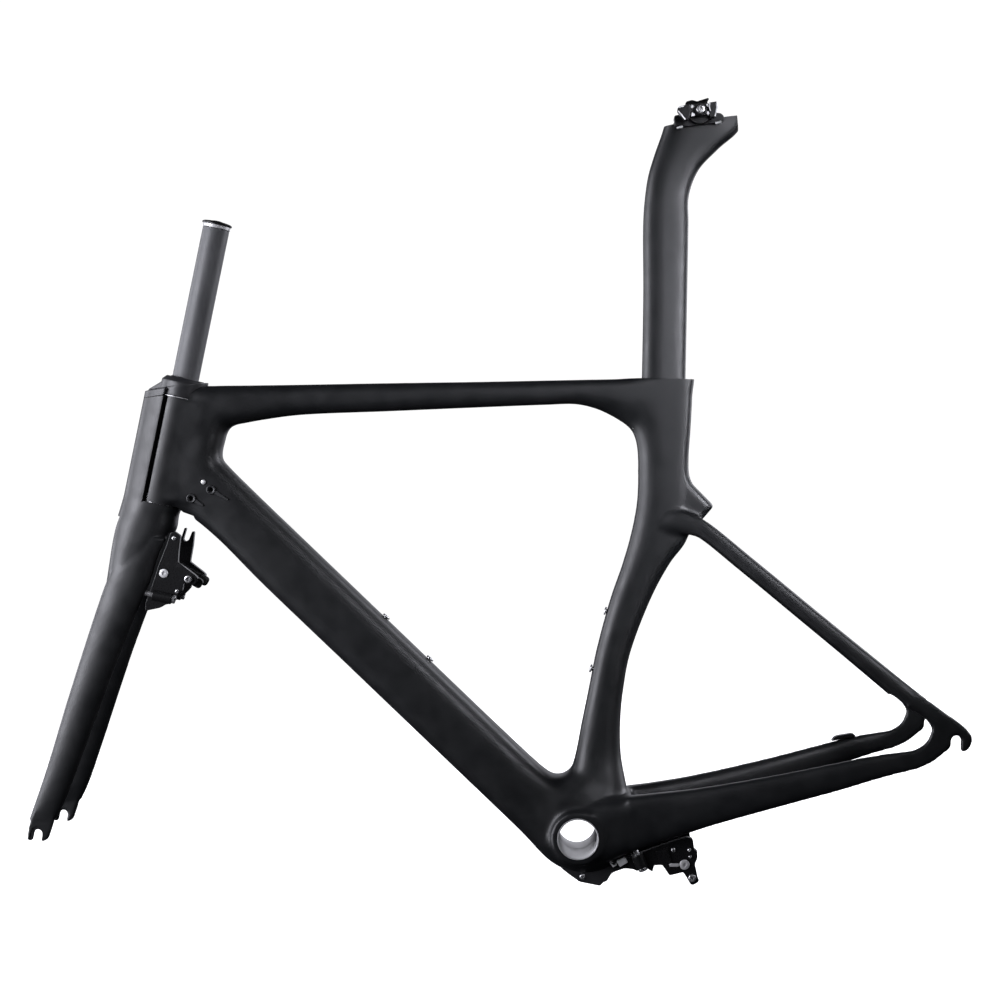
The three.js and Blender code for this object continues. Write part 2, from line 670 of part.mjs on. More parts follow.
// Everything above a straight line, given by behind and station at two places.
function slopedTop(behindA, stationA, behindB, stationB) {
  const corners = [
    steer(behindA, stationA), steer(behindB, stationB), steer(behindB, 460), steer(behindA, 460),
  ];
  return plate(corners, -60, 60);
}

const NOSE_TOP = { rear: [-16, 368.4], front: [-NOSE_REACH - 2, 360.4] };

function slopedUnder() {
  const [[rearB, rearS], [frontB, frontS]] = [NOSE_TOP.rear, NOSE_TOP.front];
  const corners = [
    steer(rearB, rearS + GAP), steer(frontB, frontS + GAP), steer(frontB, 340), steer(rearB, 340),
  ];
  return plate(corners, -60, 60);
}

function overHeadTube(low) {
  return onAxisCylinder(NOSE_INNER_RADIUS - 0.2, 330, low);
}

function belowCover(low) {
  return acrossBand(NOSE_TOP.rear[0] - 0.1, 60, 330, low);
}

// A rod on the line of the screw that holds the cover, from one distance along it to another.
function coverScrewRod(from, to, radius, sides) {
  const start = steer(-30, 376);
  const along = [-0.55, 0.835];
  return rod(offsetPoint(start, along, from), offsetPoint(start, along, to), radius, sides);
}

function coverScrew() {
  return join(coverScrewRod(-3.3, -0.6, 2.5, 12), coverScrewRod(-8, -3, 1.3, 8));
}

function steerer() {
  const inner = STEERER_RADIUS - 3;
  return turnedOnSteeringAxis([
    [inner, 246], [STEERER_RADIUS, 246], [STEERER_RADIUS, STEERER_TOP], [inner, STEERER_TOP], [inner, 246],
  ], 24);
}

function expanderPlug() {
  const inner = STEERER_RADIUS - 3 - GAP;
  const flange = STEERER_RADIUS + 0.5;
  const bottom = STEERER_TOP - 55;
  const top = STEERER_TOP + 4;
  return turnedOnSteeringAxis([
    [3.4, bottom], [inner - 1.5, bottom], [inner, bottom + 7], [inner, STEERER_TOP + GAP],
    [flange, STEERER_TOP + GAP], [flange, top], [3.4, top], [3.4, bottom],
  ], 20);
}

function topCap() {
  const low = STEERER_TOP + 4 + GAP;
  return turnedOnSteeringAxis([
    [3.4, low], [16, low], [16.2, low + 1], [14, low + 2.6], [7, low + 3.4], [7, low + 1.6], [3.4, low + 1.6],
    [3.4, low],
  ], 24);
}

function topCapBolt() {
  const low = STEERER_TOP + 6.2;
  return turnedOnSteeringAxis([
    [0, STEERER_TOP - 30], [3, STEERER_TOP - 30], [3, low], [6.2, low], [6.2, low + 1.2], [4.5, low + 2.4],
    [2.5, low + 2.4], [2.5, low + 0.6], [0, low + 0.6],
  ], 16);
}

// ---------------------------------------------------------------- fork
const CROWN = [
  [...steer(-NOSE_REACH, HEAD_BOTTOM + 1), ...steer(24, HEAD_BOTTOM + 1), 0, 25.6, 2],
  [-451, 400, -391, 385, 0, 26.5, 2],
  [-457, 382, -395, 371, 0, 28.5, 2.05],
  [-462.5, 362, -403, 359, 0, 30.5, 2.1],
  [-467.5, 343, -414, 341, 0, 31.8, 2.15],
  [-474, 322, -424, 320, 0, 33.5, 2.2],
];
const BLADE = [
  [-458, 366, -402, 362, -22, 8, 2.2],
  [-463.5, 345, -413, 343, -24, 8.4, 2.2],
  [-473.5, 320, -423.5, 318, -26.8, 8.6, 2.2],
  [-484, 294, -434.6, 298, -29.6, 8.6, 2.2],
  [-503, 250, -461, 248, -34.6, 8.4, 2.2],
  [-524, 200, -484.5, 200, -40.4, 8, 2.2],
  [-550.5, 135, -514.5, 137, -47.4, 7, 2.3],
  [-566, 100, -534, 98, -51.6, 5.6, 2.5],
  [-575.5, 83, -545, 80.5, -53.5, 4, 2.8],
];

function frontPivotPoint(behind, side) {
  const [x, z] = steer(behind, FRONT_PIVOT.station);
  return [x, side * FRONT_PIVOT.y, z];
}

function fork() {
  const blade = loft(BLADE, { sides: 14, steps: 1 });
  const crown = loft(CROWN, { sides: 20, steps: 1 });
  const nose = cut(
    steeringPlate(noseOutline(NOSE_REAR), HEAD_BOTTOM - 8, HEAD_TOP + 4, 6),
    onAxisCylinder(NOSE_INNER_RADIUS, HEAD_BOTTOM - 0.5, 420),
    slopedNoseTop(),
  );
  const [axleX, axleZ] = FRONT_AXLE;
  const wheel = rod([axleX, -TYRE_HALF_GAP, axleZ], [axleX, TYRE_HALF_GAP, axleZ], TYRE_CLEARANCE_FRONT, 80);
  const steererBore = onAxisCylinder(STEERER_RADIUS + GAP, 200, 300, 24);
  const pivotHoles = [-1, 1].map(
    (side) => rod(frontPivotPoint(-6, side), frontPivotPoint(60, side), PIVOT_BOLT_RADIUS + GAP, 10),
  );
  const legs = join(cut(crown, crownTopClearance()), blade, mirrorY(blade));
  const raceSeat = onAxisCylinder(23.4, HEAD_BOTTOM - 2.2, HEAD_BOTTOM + 8, 24);
  return largestPiece(toManifold(cut(join(legs, nose), wheel, steererBore, raceSeat, ...pivotHoles)));
}

// The crown's upper face follows the underside of the head tube.
function crownTopClearance() {
  return turnedOnSteeringAxis([
    [0, HEAD_BOTTOM - 0.5], [28.2, HEAD_BOTTOM - 0.5], [31.2, 248.8], [60, 247.5], [60, 300], [0, 300],
  ], 32);
}

function slopedNoseTop() {
  const [[rearB, rearS], [frontB, frontS]] = [NOSE_TOP.rear, NOSE_TOP.front];
  const [behindRear, behindFront] = [rearB + 10, frontB - 4];
  const corners = [
    steer(behindRear, rearS + 3.3), steer(behindFront, frontS - 1.3),
    steer(behindFront, 400), steer(behindRear, 400),
  ];
  return plate(corners, -60, 60);
}

function forkDropout() {
  const shape = new THREE.Shape();
  const [ax, az] = [FRONT_AXLE[0] - 2, FRONT_AXLE[1] - 1];
  const down = [-0.3, -0.954];
  const side = [0.954, -0.3];
  const at = (across, along) => [
    ax + side[0] * across + down[0] * along,
    az + side[1] * across + down[1] * along,
  ];
  shape.moveTo(-575.8, 82.4);
  shape.quadraticCurveTo(...at(-15.5, 2), ...at(-11.5, 7));
  shape.quadraticCurveTo(...at(-9, 11), ...at(-4.6, 8));
  shape.lineTo(...at(-4.6, 0));
  shape.absarc(ax, az, 4.6, Math.atan2(-side[1], -side[0]), Math.atan2(side[1], side[0]), true);
  shape.lineTo(...at(4.6, 9));
  shape.quadraticCurveTo(...at(8, 13), ...at(12, 9));
  shape.lineTo(-551, 67);
  shape.quadraticCurveTo(-547.6, 73, -545.9, 79.9);
  return plate(shape, -FRONT_HUB_HALF - DROPOUT_THICKNESS, -FRONT_HUB_HALF, 5);
}

function frontPivotBolt() {
  const shank = rod(frontPivotPoint(-5, -1), frontPivotPoint(39, -1), PIVOT_BOLT_RADIUS, 12);
  const head = rod(frontPivotPoint(38.5, -1), frontPivotPoint(42, -1), PIVOT_HEAD_RADIUS, 16);
  const socket = rod(frontPivotPoint(40, -1), frontPivotPoint(44, -1), 2, 6);
  return cut(join(shank, head), socket);
}

// ---------------------------------------------------------------- brakes, left side; the right is mirrored
// Front arm outlines, as distance behind the steering axis and station. Both end in a tail for the pad.
const FRONT_ARM_TAIL = [
  [17, 190], [14.5, 168], [11.5, 148], [13, 139.5], [27.7, 146], [41.6, 158.7], [47.2, 168.6], [47, 177.5],
  [58.5, 177.3], [61, 181], [60.5, 186], [57, 188.2],
];
// The cable's pinch bolt sits on the left arm's top; its noodle hangs in the fork of the right arm.
const PINCH_TOP = [[36.5, 197.8], [34.8, 210.6], [33.7, 226], [27, 229], [22.5, 227], [21, 214]];
const FORKED_TOP = [
  [41, 196], [40.4, 214.5], [38.9, 229], [36.4, 229], [34.6, 219], [31.3, 216.4], [28.6, 218.5], [29.6, 231],
  [27.4, 231], [25.5, 216], [24, 200],
];

function padStudHole([x, z]) {
  return rod([x, -40, z], [x, 0, z], PAD_STUD_RADIUS + GAP, 10);
}

function frontBrakeArm(top) {
  const outline = [...FRONT_ARM_TAIL, ...top].map(([behind, station]) => steer(behind, station));
  const arm = plate(outline, -BRAKE_ARM_OUTER, -BRAKE_ARM_INNER);
  const barrel = rod(frontPivotPoint(17, -1), frontPivotPoint(38, -1), 6.2, 18);
  const bore = join(
    rod(frontPivotPoint(0, -1), frontPivotPoint(60, -1), PIVOT_BOLT_RADIUS + GAP, 12),
    rod(frontPivotPoint(38.2, -1), frontPivotPoint(60, -1), PIVOT_HEAD_RADIUS + GAP, 16),
  );
  return cut(join(arm, barrel), bore, padStudHole(steer(FRONT_PAD_BOLT.behind, FRONT_PAD_BOLT.station)));
}

// A straight bar with clipped corners, centred in x and z and turned to its heading.
function padBar({ centre, heading, length, height }, yLow, yHigh) {
  const along = [Math.cos(heading), Math.sin(heading)];
  const up = [-along[1], along[0]];
  const at = (a, b) => [
    centre[0] + along[0] * a * length / 2 + up[0] * b * height / 2,
    centre[1] + along[1] * a * length / 2 + up[1] * b * height / 2,
  ];
  const corners = [
    [-1, -0.6], [-0.92, -1], [0.92, -1], [1, -0.6], [1, 0.6], [0.92, 1], [-0.92, 1], [-1, 0.6],
  ];
  return plate(corners.map(([a, b]) => at(a, b)), yLow, yHigh);
}

// Rubber, metal holder and bolt of one pad. The bar lies along the rim, shifted along it from its bolt.
function padSet({ bolt, heading, shift }) {
  const [x, z] = bolt;
  const centre = [x + Math.cos(heading) * shift, z + Math.sin(heading) * shift];
  const rubberOuter = -PAD_INNER - 4;
  const headFace = -BRAKE_ARM_OUTER - 3.4;
  return {
    rubber: padBar({ centre, heading, length: 36, height: 9 }, rubberOuter, -PAD_INNER),
    holder: cut(
      padBar({ centre, heading, length: 39, height: 10.5 }, -BRAKE_ARM_INNER + GAP, rubberOuter - GAP),
      rod([x, -BRAKE_ARM_INNER - 2, z], [x, rubberOuter - 1.5, z], PAD_STUD_RADIUS + GAP, 10),
    ),
    bolt: cut(
      join(
        rod([x, -BRAKE_ARM_OUTER - 0.4, z], [x, rubberOuter - 2, z], PAD_STUD_RADIUS, 10),
        rod([x, headFace, z], [x, -BRAKE_ARM_OUTER - GAP, z], 4, 16),
      ),
      rod([x, headFace - 1, z], [x, headFace + 1.6, z], 1.9, 6),
    ),
  };
}

function rearBrakeArm() {
  const outline = [
    [48, -28.5], [60, -25.5], [80, -20.5], [100, -15.5], [115, -12.5], [121, -14.5], [121.6, -26],
    [124.5, -27.5], [124, -36], [120.6, -42], [122.6, -60.9], [114.5, -63.8], [107.4, -49.5], [92.5, -51.5],
    [86, -39.5], [77.4, -39], [74.9, -45.8], [69, -41], [64, -42.5], [58.3, -43.2], [50, -37],
  ];
  const arm = plate(outline, -BRAKE_ARM_OUTER, -BRAKE_ARM_INNER);
  const barrel = rod(rearPivotPoint(-9, -1), rearPivotPoint(6, -1), 6.4, 18);
  const bore = join(
    rod(rearPivotPoint(-30, -1), rearPivotPoint(40, -1), PIVOT_BOLT_RADIUS + GAP, 12),
    rod(rearPivotPoint(-30, -1), rearPivotPoint(-9.1, -1), PIVOT_HEAD_RADIUS + GAP, 16),
  );
  return cut(join(arm, barrel), bore, padStudHole(REAR_PAD_BOLT));
}

function rearPivotBolt() {
  const shank = rod(rearPivotPoint(-10, -1), rearPivotPoint(17, -1), PIVOT_BOLT_RADIUS, 12);
  const head = rod(rearPivotPoint(-13, -1), rearPivotPoint(-9.4, -1), PIVOT_HEAD_RADIUS, 16);
  const socket = rod(rearPivotPoint(-14, -1), rearPivotPoint(-11.2, -1), 2, 6);
  return cut(join(shank, head), socket);
}

// ---------------------------------------------------------------- seatpost and saddle clamp
// Above the straight blade the post sweeps back into a flat head.
const POST_HEAD = [
  postSection(POST_BOTTOM, 0),
  postSection(560, 0),
  [138.5, 640, 186.5, 636, 0, 12, 2.6],
  [142.5, 664, 190, 665, 0, 12, 2.6],
  [149, 690, 203, 691, 0, 12, 2.7],
  [158, 712, 226, 710, 0, 12.5, 2.8],
  [168, 733, 250, 727, 0, 13.5, 3],
  [176, 752, 256, 750, 0, 14.5, 3.4],
];

const HEAD_PLANE = { front: [150, 741.6], rear: [270, 745.4] };
const HEAD_REAR_X = 249;
const BARREL_RADIUS = 13.2;

// The whole head before its trough, grown by a clearance in width and height.
function postSolid(grow) {
  const stations = POST_HEAD.map(
    (station) => station.with(HALF_WIDTH_COLUMN, station[HALF_WIDTH_COLUMN] + grow),
  );
  const [[frontX, frontZ], [rearX, rearZ]] = [HEAD_PLANE.front, HEAD_PLANE.rear];
  const above = plate([[frontX, frontZ + grow], [rearX, rearZ + grow], [rearX, 800], [frontX, 800]], -40, 40);
  const rearEnd = plate([[HEAD_REAR_X, 700], [290, 700], [290, 760], [HEAD_REAR_X, 760]], -40, 40);
  return cut(loft(stations, { sides: 18, steps: 2 }), above, rearEnd);
}

function clampTrough() {
  const [x, z] = CLAMP_PIVOT;
  return rod([x, -40, z], [x, 40, z], BARREL_RADIUS + GAP, 32);
}

function seatpost() {
  return cut(postSolid(0), clampTrough());
}

// Metal shoe over the head's top and sides, with the same trough.
function clampBase() {
  const outline = [
    [181.5, 737.5], [181.5, 743.5], [186, 746.6], [195, 747.6], [223, 747.8], [231, 746.4], [234, 743.5],
    [234, 737.6], [222, 736.2], [195, 736],
  ];
  return cut(plate(outline, -16.5, 16.5), postSolid(GAP), clampTrough());
}

// Barrel that rocks in the head's trough and carries the saddle rails at its ends.
function clampCradle() {
  const [x, z] = CLAMP_PIVOT;
  const half = RAIL_HALF_SPACING - GAP / 2;
  const barrel = rod([x, -half, z], [x, half, z], BARREL_RADIUS, 32);
  const flat = plate([[x - 30, z + 4], [x + 30, z + 4], [x + 30, z + 30], [x - 30, z + 30]], -40, 40);
  const wings = plate([
    [x - 13, z + 2], [x - 12, z + 6], [x - 14.5, z + 9.5], [x - 13, z + 11.5], [x - 7, z + 12.5],
    [x - 2, z + 10.5], [x + 10, z + 12.8], [x + 11, z + 11.6], [x + 8.5, z + 9], [x + 12, z + 4],
    [x + 13, z + 2], [x, z],
  ], -half, half);
  const bore = rod([x, -40, z], [x, 40, z], 3.3, 12);
  return cut(join(cut(barrel, flat), wings), bore, railRod(-1), railRod(1));
}

function railRod(side) {
  const [x, z] = CLAMP_PIVOT;
  const y = side * RAIL_HALF_SPACING;
  return rod([x - 60, y, z + 7.5], [x + 60, y, z + 7.5], RAIL_RADIUS + 0.1, 16);
}

// Outer jaw: two lobes either side of the bolt, with the rail groove along its inner face.
function clampJaw() {
  const [x, z] = CLAMP_PIVOT;
  const outline = [
    [x + 2, z - 6], [x + 8, z - 5], [x + 12.5, z - 10], [x + 18, z], [x + 18.5, z + 7.5], [x + 9.5, z + 8],
    [x + 3, z + 6], [x - 3, z + 6], [x - 11, z + 8], [x - 22.5, z + 6.5], [x - 24, z + 0.5],
    [x - 17.5, z - 9], [x - 11.5, z - 4.5], [x - 2, z - 6],
  ];
  const inner = RAIL_HALF_SPACING + GAP / 2;
  const body = plate(outline, -JAW_OUTER + 1.5, -inner);
  const boss = rod([x, -JAW_OUTER, z], [x, -inner, z], 6.4, 20);
  const bore = rod([x, -40, z], [x, 0, z], 3 + GAP, 12);
  return cut(join(body, boss), bore, railRod(-1));
}

function clampBolt() {
  const [x, z] = CLAMP_PIVOT;
  const seat = JAW_OUTER + GAP;
  const shank = rod([x, -seat - 1, z], [x, seat + 3, z], 3, 12);
  const head = rod([x, -seat - 3, z], [x, -seat, z], 5, 18);
  const nut = rod([x, seat, z], [x, seat + 3.6, z], 5.2, 6);
  const socket = rod([x, -seat - 5, z], [x, -seat - 1.4, z], 2.4, 6);
  return cut(join(shank, head, nut), socket);
}

// ---------------------------------------------------------------- assembly
const frameset = new THREE.Group();

function addPart(name, geometry, material) {
  const mesh = new THREE.Mesh(positionsOnly(geometry), material);
  mesh.name = name;
  frameset.add(mesh);
}

function addPair(stem, geometry, material) {
  addPart(`${stem}_left`, geometry, material);
  addPart(`${stem}_right`, mirrorY(geometry), material);
}

const triangle = frontTriangle();
addPart('front_triangle', triangle, CARBON);
addPair('seatstay', seatstay(triangle), CARBON);
addPair('chainstay', chainstay(), CARBON);
addPair('rear_dropout', rearDropout(), BLACK_ALLOY);
addPart('bb_sleeve', bbSleeve(), ALLOY);
addPart('bb_cable_cover', bbCableCover(triangle), PLASTIC);
addPart('bb_cover_screw', bbCoverScrew(), STEEL);
addPart('derailleur_cable_stop', derailleurCableStop(), BLACK_ALLOY);
addPart('upper_bearing', bearing(UPPER_BEARING), STEEL);
addPart('lower_bearing', bearing(LOWER_BEARING), STEEL);
addPart('seatpost_wedge', seatpostWedge(), ALLOY);
addPart('wedge_screw', wedgeScrew(), STEEL);
for (const bolt of BOTTLE_BOLTS) addPart(bolt.name, bottleBolt(bolt), STEEL);
for (const [name, port] of Object.entries(CABLE_PORTS)) addPart(name, cablePort(port), PLASTIC);
addPart('port_screw', portScrew(), STEEL);
addPair('rear_brake_pivot', rearPivotBolt(), STEEL);

addPart('fork', fork(), CARBON);
addPart('steerer', steerer(), RAW_CARBON);
addPair('fork_dropout', forkDropout(), BLACK_ALLOY);
addPart('crown_race', crownRace(), STEEL);
addPart('compression_ring', compressionRing(), ALLOY);
addPart('headset_cover', headsetCover(), PLASTIC);
addPart('cover_screw', coverScrew(), STEEL);
addPart('expander_plug', expanderPlug(), ALLOY);
addPart('top_cap', topCap(), BLACK_ALLOY);
addPart('top_cap_bolt', topCapBolt(), STEEL);
addPair('front_brake_pivot', frontPivotBolt(), STEEL);

addPart('front_brake_arm_left', frontBrakeArm(PINCH_TOP), BLACK_ALLOY);
addPart('front_brake_arm_right', mirrorY(frontBrakeArm(FORKED_TOP)), BLACK_ALLOY);
addPair('rear_brake_arm', rearBrakeArm(), BLACK_ALLOY);

const padSets = {
  front: padSet({ bolt: steer(FRONT_PAD_BOLT.behind, FRONT_PAD_BOLT.station), heading: -0.63, shift: -5 }),
  rear: padSet({ bolt: REAR_PAD_BOLT, heading: -1.159, shift: -10 }),
};
for (const [end, pads] of Object.entries(padSets)) {
  addPair(`${end}_pad_holder`, pads.holder, BLACK_ALLOY);
  addPair(`${end}_brake_pad`, pads.rubber, RUBBER);
  addPair(`${end}_pad_bolt`, pads.bolt, STEEL);
}

addPart('seatpost', seatpost(), CARBON);
addPart('clamp_base', clampBase(), BLACK_ALLOY);
addPart('clamp_cradle', clampCradle(), BLACK_ALLOY);
addPair('clamp_jaw', clampJaw(), BLACK_ALLOY);
addPart('clamp_bolt', clampBolt(), STEEL);

export default frameset;
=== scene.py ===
"""Aero road bicycle frameset: the finished surfaces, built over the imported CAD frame.

Shapes are written in millimetres in the CAD's own axes and brought to metres when a piece is finished.
"""
import math

import bmesh
import bpy
import numpy as np
from mathutils import Matrix, Vector


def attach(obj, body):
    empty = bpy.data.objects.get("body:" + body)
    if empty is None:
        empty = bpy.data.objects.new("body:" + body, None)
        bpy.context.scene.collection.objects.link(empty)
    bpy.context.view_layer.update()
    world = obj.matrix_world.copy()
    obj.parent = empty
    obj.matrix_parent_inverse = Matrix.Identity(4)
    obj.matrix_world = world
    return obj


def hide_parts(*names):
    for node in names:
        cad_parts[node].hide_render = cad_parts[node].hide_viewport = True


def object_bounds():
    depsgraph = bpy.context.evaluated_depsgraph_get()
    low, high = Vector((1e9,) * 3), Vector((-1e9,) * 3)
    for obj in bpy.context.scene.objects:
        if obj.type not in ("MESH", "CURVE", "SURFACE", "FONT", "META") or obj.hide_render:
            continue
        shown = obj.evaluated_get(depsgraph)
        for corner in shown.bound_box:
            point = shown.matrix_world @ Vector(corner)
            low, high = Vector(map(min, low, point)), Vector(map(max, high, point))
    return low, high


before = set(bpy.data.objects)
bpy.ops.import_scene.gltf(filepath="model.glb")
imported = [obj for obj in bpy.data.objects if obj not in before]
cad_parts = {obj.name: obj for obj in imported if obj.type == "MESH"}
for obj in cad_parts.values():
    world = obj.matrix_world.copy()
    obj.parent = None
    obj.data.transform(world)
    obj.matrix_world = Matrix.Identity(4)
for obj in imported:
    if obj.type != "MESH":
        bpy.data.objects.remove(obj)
cad_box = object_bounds()
TO_METRES = 0.001

# -------- dimensions shared with the CAD
HEAD_ANGLE = math.radians(72)
AXIS_OFFSET = -512.95
SIN, COS = math.sin(HEAD_ANGLE), math.cos(HEAD_ANGLE)
HEAD_BOTTOM, HEAD_TOP, STEERER_TOP = 254, 369, 554
HEAD_TUBE_RADIUS, STEERER_RADIUS = 26, 14.3
NOSE_INNER_RADIUS, NOSE_REACH, NOSE_HALF_WIDTH, NOSE_REAR, FLANK_FRONT = 27.4, 39.7, 24.8, -15, -10
FRONT_AXLE, REAR_AXLE = (-563.7, 68), (400.3, 68)
FORK_SLOT_AXLE, FORK_SLOT_DOWN = (FRONT_AXLE[0] - 2, FRONT_AXLE[1] - 1), (-0.3, -0.954)
FRONT_HUB_HALF, REAR_HUB_HALF, DROPOUT_THICKNESS = 50, 65, 7
BB_HALF_WIDTH, BB_SLEEVE_RADIUS, BB_SLEEVE_BORE, BB_BOSS_RADIUS = 43.25, 22, 20.5, 29
TYRE_CLEARANCE_FRONT, TYRE_HALF_GAP = 341, 16.5
POST_LEAN, POST_AXIS_X, POST_DEPTH, POST_HALF_WIDTH = math.radians(7.1), 83.9, 46, 12
POST_BOTTOM, SOCKET_BOTTOM, ABOVE_TOP_TUBE = 388, 314, 500
CLAMP_PIVOT, RAIL_HALF_SPACING, RAIL_RADIUS, JAW_OUTER = (209, 750), 22, 3.5, 30.5
PIVOT_BOLT_RADIUS, PIVOT_HEAD_RADIUS = 3, 4.8
FRONT_PIVOT_STATION, FRONT_PIVOT_Y = 158, 27
REAR_PIVOT, REAR_PIVOT_Y, REAR_PIVOT_UP = (62, -31), 30, (-0.284, 0.959)
ARM_INNER, ARM_OUTER, PAD_INNER = 21, 29, 12.6
COVER_RADIUS, COVER_POCKET_START = 25, 11.5
PORT_FACE_Y = -24.6
GAP = 0.3
PIVOT_HOLE = PIVOT_BOLT_RADIUS + GAP

ROUND = 96          # sides of a turned piece
SHELL_VOXEL = 2.25
FORK_VOXEL = 1.5
COVER_VOXEL = 0.7

# -------- placing
STEERING = Matrix((
    (SIN, 0, COS, SIN * AXIS_OFFSET),
    (0, 1, 0, 0),
    (-COS, 0, SIN, -COS * AXIS_OFFSET),
    (0, 0, 0, 1),
))
ACROSS = Matrix(((1, 0, 0, 0), (0, 0, 1, 0), (0, 1, 0, 0), (0, 0, 0, 1)))
MIRROR = Matrix.Scale(-1, 4, (0, 1, 0))


def steer(behind, station):
    """x and z of a point given by its distance behind the steering axis and its station along it."""
    across = AXIS_OFFSET + behind
    return COS * station + SIN * across, SIN * station - COS * across


def along(start, direction):
    """A matrix that puts local +Z on a direction, from a start point."""
    turn = Vector((0, 0, 1)).rotation_difference(Vector(direction).normalized())
    return Matrix.Translation(Vector(start)) @ turn.to_matrix().to_4x4()


def moved(point, direction, distance):
    return tuple(p + d * distance for p, d in zip(point, direction))


# -------- meshes
def placed(data, name="work"):
    obj = bpy.data.objects.new(name, data)
    bpy.context.scene.collection.objects.link(obj)
    return obj


def new_object(vertices, faces, matrix=None):
    mesh = bpy.data.meshes.new("work")
    mesh.from_pydata(np.asarray(vertices, dtype=float).tolist(), [], faces)
    if matrix is not None:
        mesh.transform(matrix)
    point_outward(mesh)
    return placed(mesh)


def point_outward(mesh):
    work = bmesh.new()
    work.from_mesh(mesh)
    bmesh.ops.recalc_face_normals(work, faces=work.faces)
    work.to_mesh(mesh)
    work.free()


def settle(obj):
    """Applies every modifier of an object to its mesh."""
    evaluated = obj.evaluated_get(bpy.context.evaluated_depsgraph_get())
    mesh = bpy.data.meshes.new_from_object(evaluated)
    old = obj.data
    obj.modifiers.clear()
    obj.data = mesh
    bpy.data.meshes.remove(old)
    return obj


def combine(obj, others, operation):
    for other in others:
        modifier = obj.modifiers.new(operation, "BOOLEAN")
        modifier.operation = operation
        modifier.solver = "MANIFOLD"
        modifier.object = other
    settle(obj)
    for other in others:
        bpy.data.objects.remove(other)
    return obj


def join(obj, *others):
    return combine(obj, others, "UNION")


def cut(obj, *tools):
    return combine(obj, tools, "DIFFERENCE")


def flip(obj):
    """Turns a left piece into a right one, in place."""
    obj.data.transform(MIRROR)
    point_outward(obj.data)
    return obj


def mirrored(obj):
    return flip(placed(obj.data.copy()))


def gather(objects):
    """Puts several closed meshes into one, overlapping, ready to be remeshed together."""
    work = bmesh.new()
    for obj in objects:
        work.from_mesh(obj.data)
        bpy.data.objects.remove(obj)
    mesh = bpy.data.meshes.new("work")
    work.to_mesh(mesh)
    work.free()
    return placed(mesh)


def melt(obj, voxel, smoothing):
    """One seamless skin round everything in the mesh, its edges softened."""
    remesh = obj.modifiers.new("skin", "REMESH")
    remesh.mode = "VOXEL"
    remesh.voxel_size = voxel
    smooth = obj.modifiers.new("soften", "SMOOTH")
    smooth.factor = 0.5
    smooth.iterations = smoothing
    return settle(obj)


def ring_faces(count, sides, closed):
    """Quads between successive rings of vertices."""
    faces = []
    for ring in range(count if closed else count - 1):
        here, there = ring * sides, ((ring + 1) % count) * sides
        for side in range(sides):
            following = (side + 1) % sides
            faces.append((here + side, there + side, there + following, here + following))
    return faces


def revolve(rings, sides, closed, matrix):
    """Joins rings of (radius, height) points about local Z. A ring of one point is a pole."""
    vertices, spans = [], []
    for ring in rings:
        spans.append((len(vertices), len(ring)))
        for side, (radius, height) in enumerate(ring):
            angle = 2 * math.pi * side / sides
            vertices.append((radius * math.cos(angle), radius * math.sin(angle), height))
    faces = []
    for (first_a, count_a), (first_b, count_b) in zip(spans, spans[1:] + spans[:closed]):
        for side in range(sides):
            following = (side + 1) % sides
            corners = dict.fromkeys([
                first_a + side % count_a, first_b + side % count_b,
                first_b + following % count_b, first_a + following % count_a,
            ])
            faces.append(tuple(corners))
    return new_object(vertices, faces, matrix)


def ring_of(point, sides):
    return [point] * (sides if point[0] else 1)


def turned(profile, matrix=None, sides=ROUND):
    """Revolves a profile of (radius, height) points. One that ends where it starts is a ring."""
    closed = profile[0] == profile[-1]
    points = profile[:-1] if closed else profile
    return revolve([ring_of(point, sides) for point in points], sides, closed, matrix)


def rod(start, end, radius, sides=48):
    start, end = Vector(start), Vector(end)
    length = (end - start).length
    return turned([(0, 0), (radius, 0), (radius, length), (0, length)], along(start, end - start), sides)


def on_axis(profile, sides=ROUND):
    return turned(profile, STEERING, sides)


def axis_cylinder(radius, low, high):
    return on_axis([(0, low), (radius, low), (radius, high), (0, high)])


def rounded(points, radius, steps=5):
    """A closed outline with its corners rounded. A point's third number is its own radius."""
    result = []
    count = len(points)
    for i, point in enumerate(points):
        corner = np.array(point[:2], dtype=float)
        own = point[2] if len(point) > 2 else radius
        before = np.array(points[i - 1][:2], dtype=float) - corner
        after = np.array(points[(i + 1) % count][:2], dtype=float) - corner
        reach = min(own, 0.45 * np.linalg.norm(before), 0.45 * np.linalg.norm(after))
        start = corner + before / np.linalg.norm(before) * reach
        end = corner + after / np.linalg.norm(after) * reach
        for step in range(steps + 1):
            t = step / steps
            result.append((1 - t) ** 2 * start + 2 * t * (1 - t) * corner + t * t * end)
    return np.array(result)


def arc(centre, radius, start, end, steps=16):
    """Points on an arc, its angles in radians, turning from start to end."""
    angles = np.linspace(start, end, steps + 1)
    return [(centre[0] + radius * math.cos(a), centre[1] + radius * math.sin(a)) for a in angles]


def curve(start, control, end, steps=8):
    """Points on a quadratic curve, its start left out."""
    start, control, end = (np.array(p, dtype=float) for p in (start, control, end))
    ts = [step / steps for step in range(1, steps + 1)]
    return [tuple((1 - t) ** 2 * start + 2 * t * (1 - t) * control + t * t * end) for t in ts]


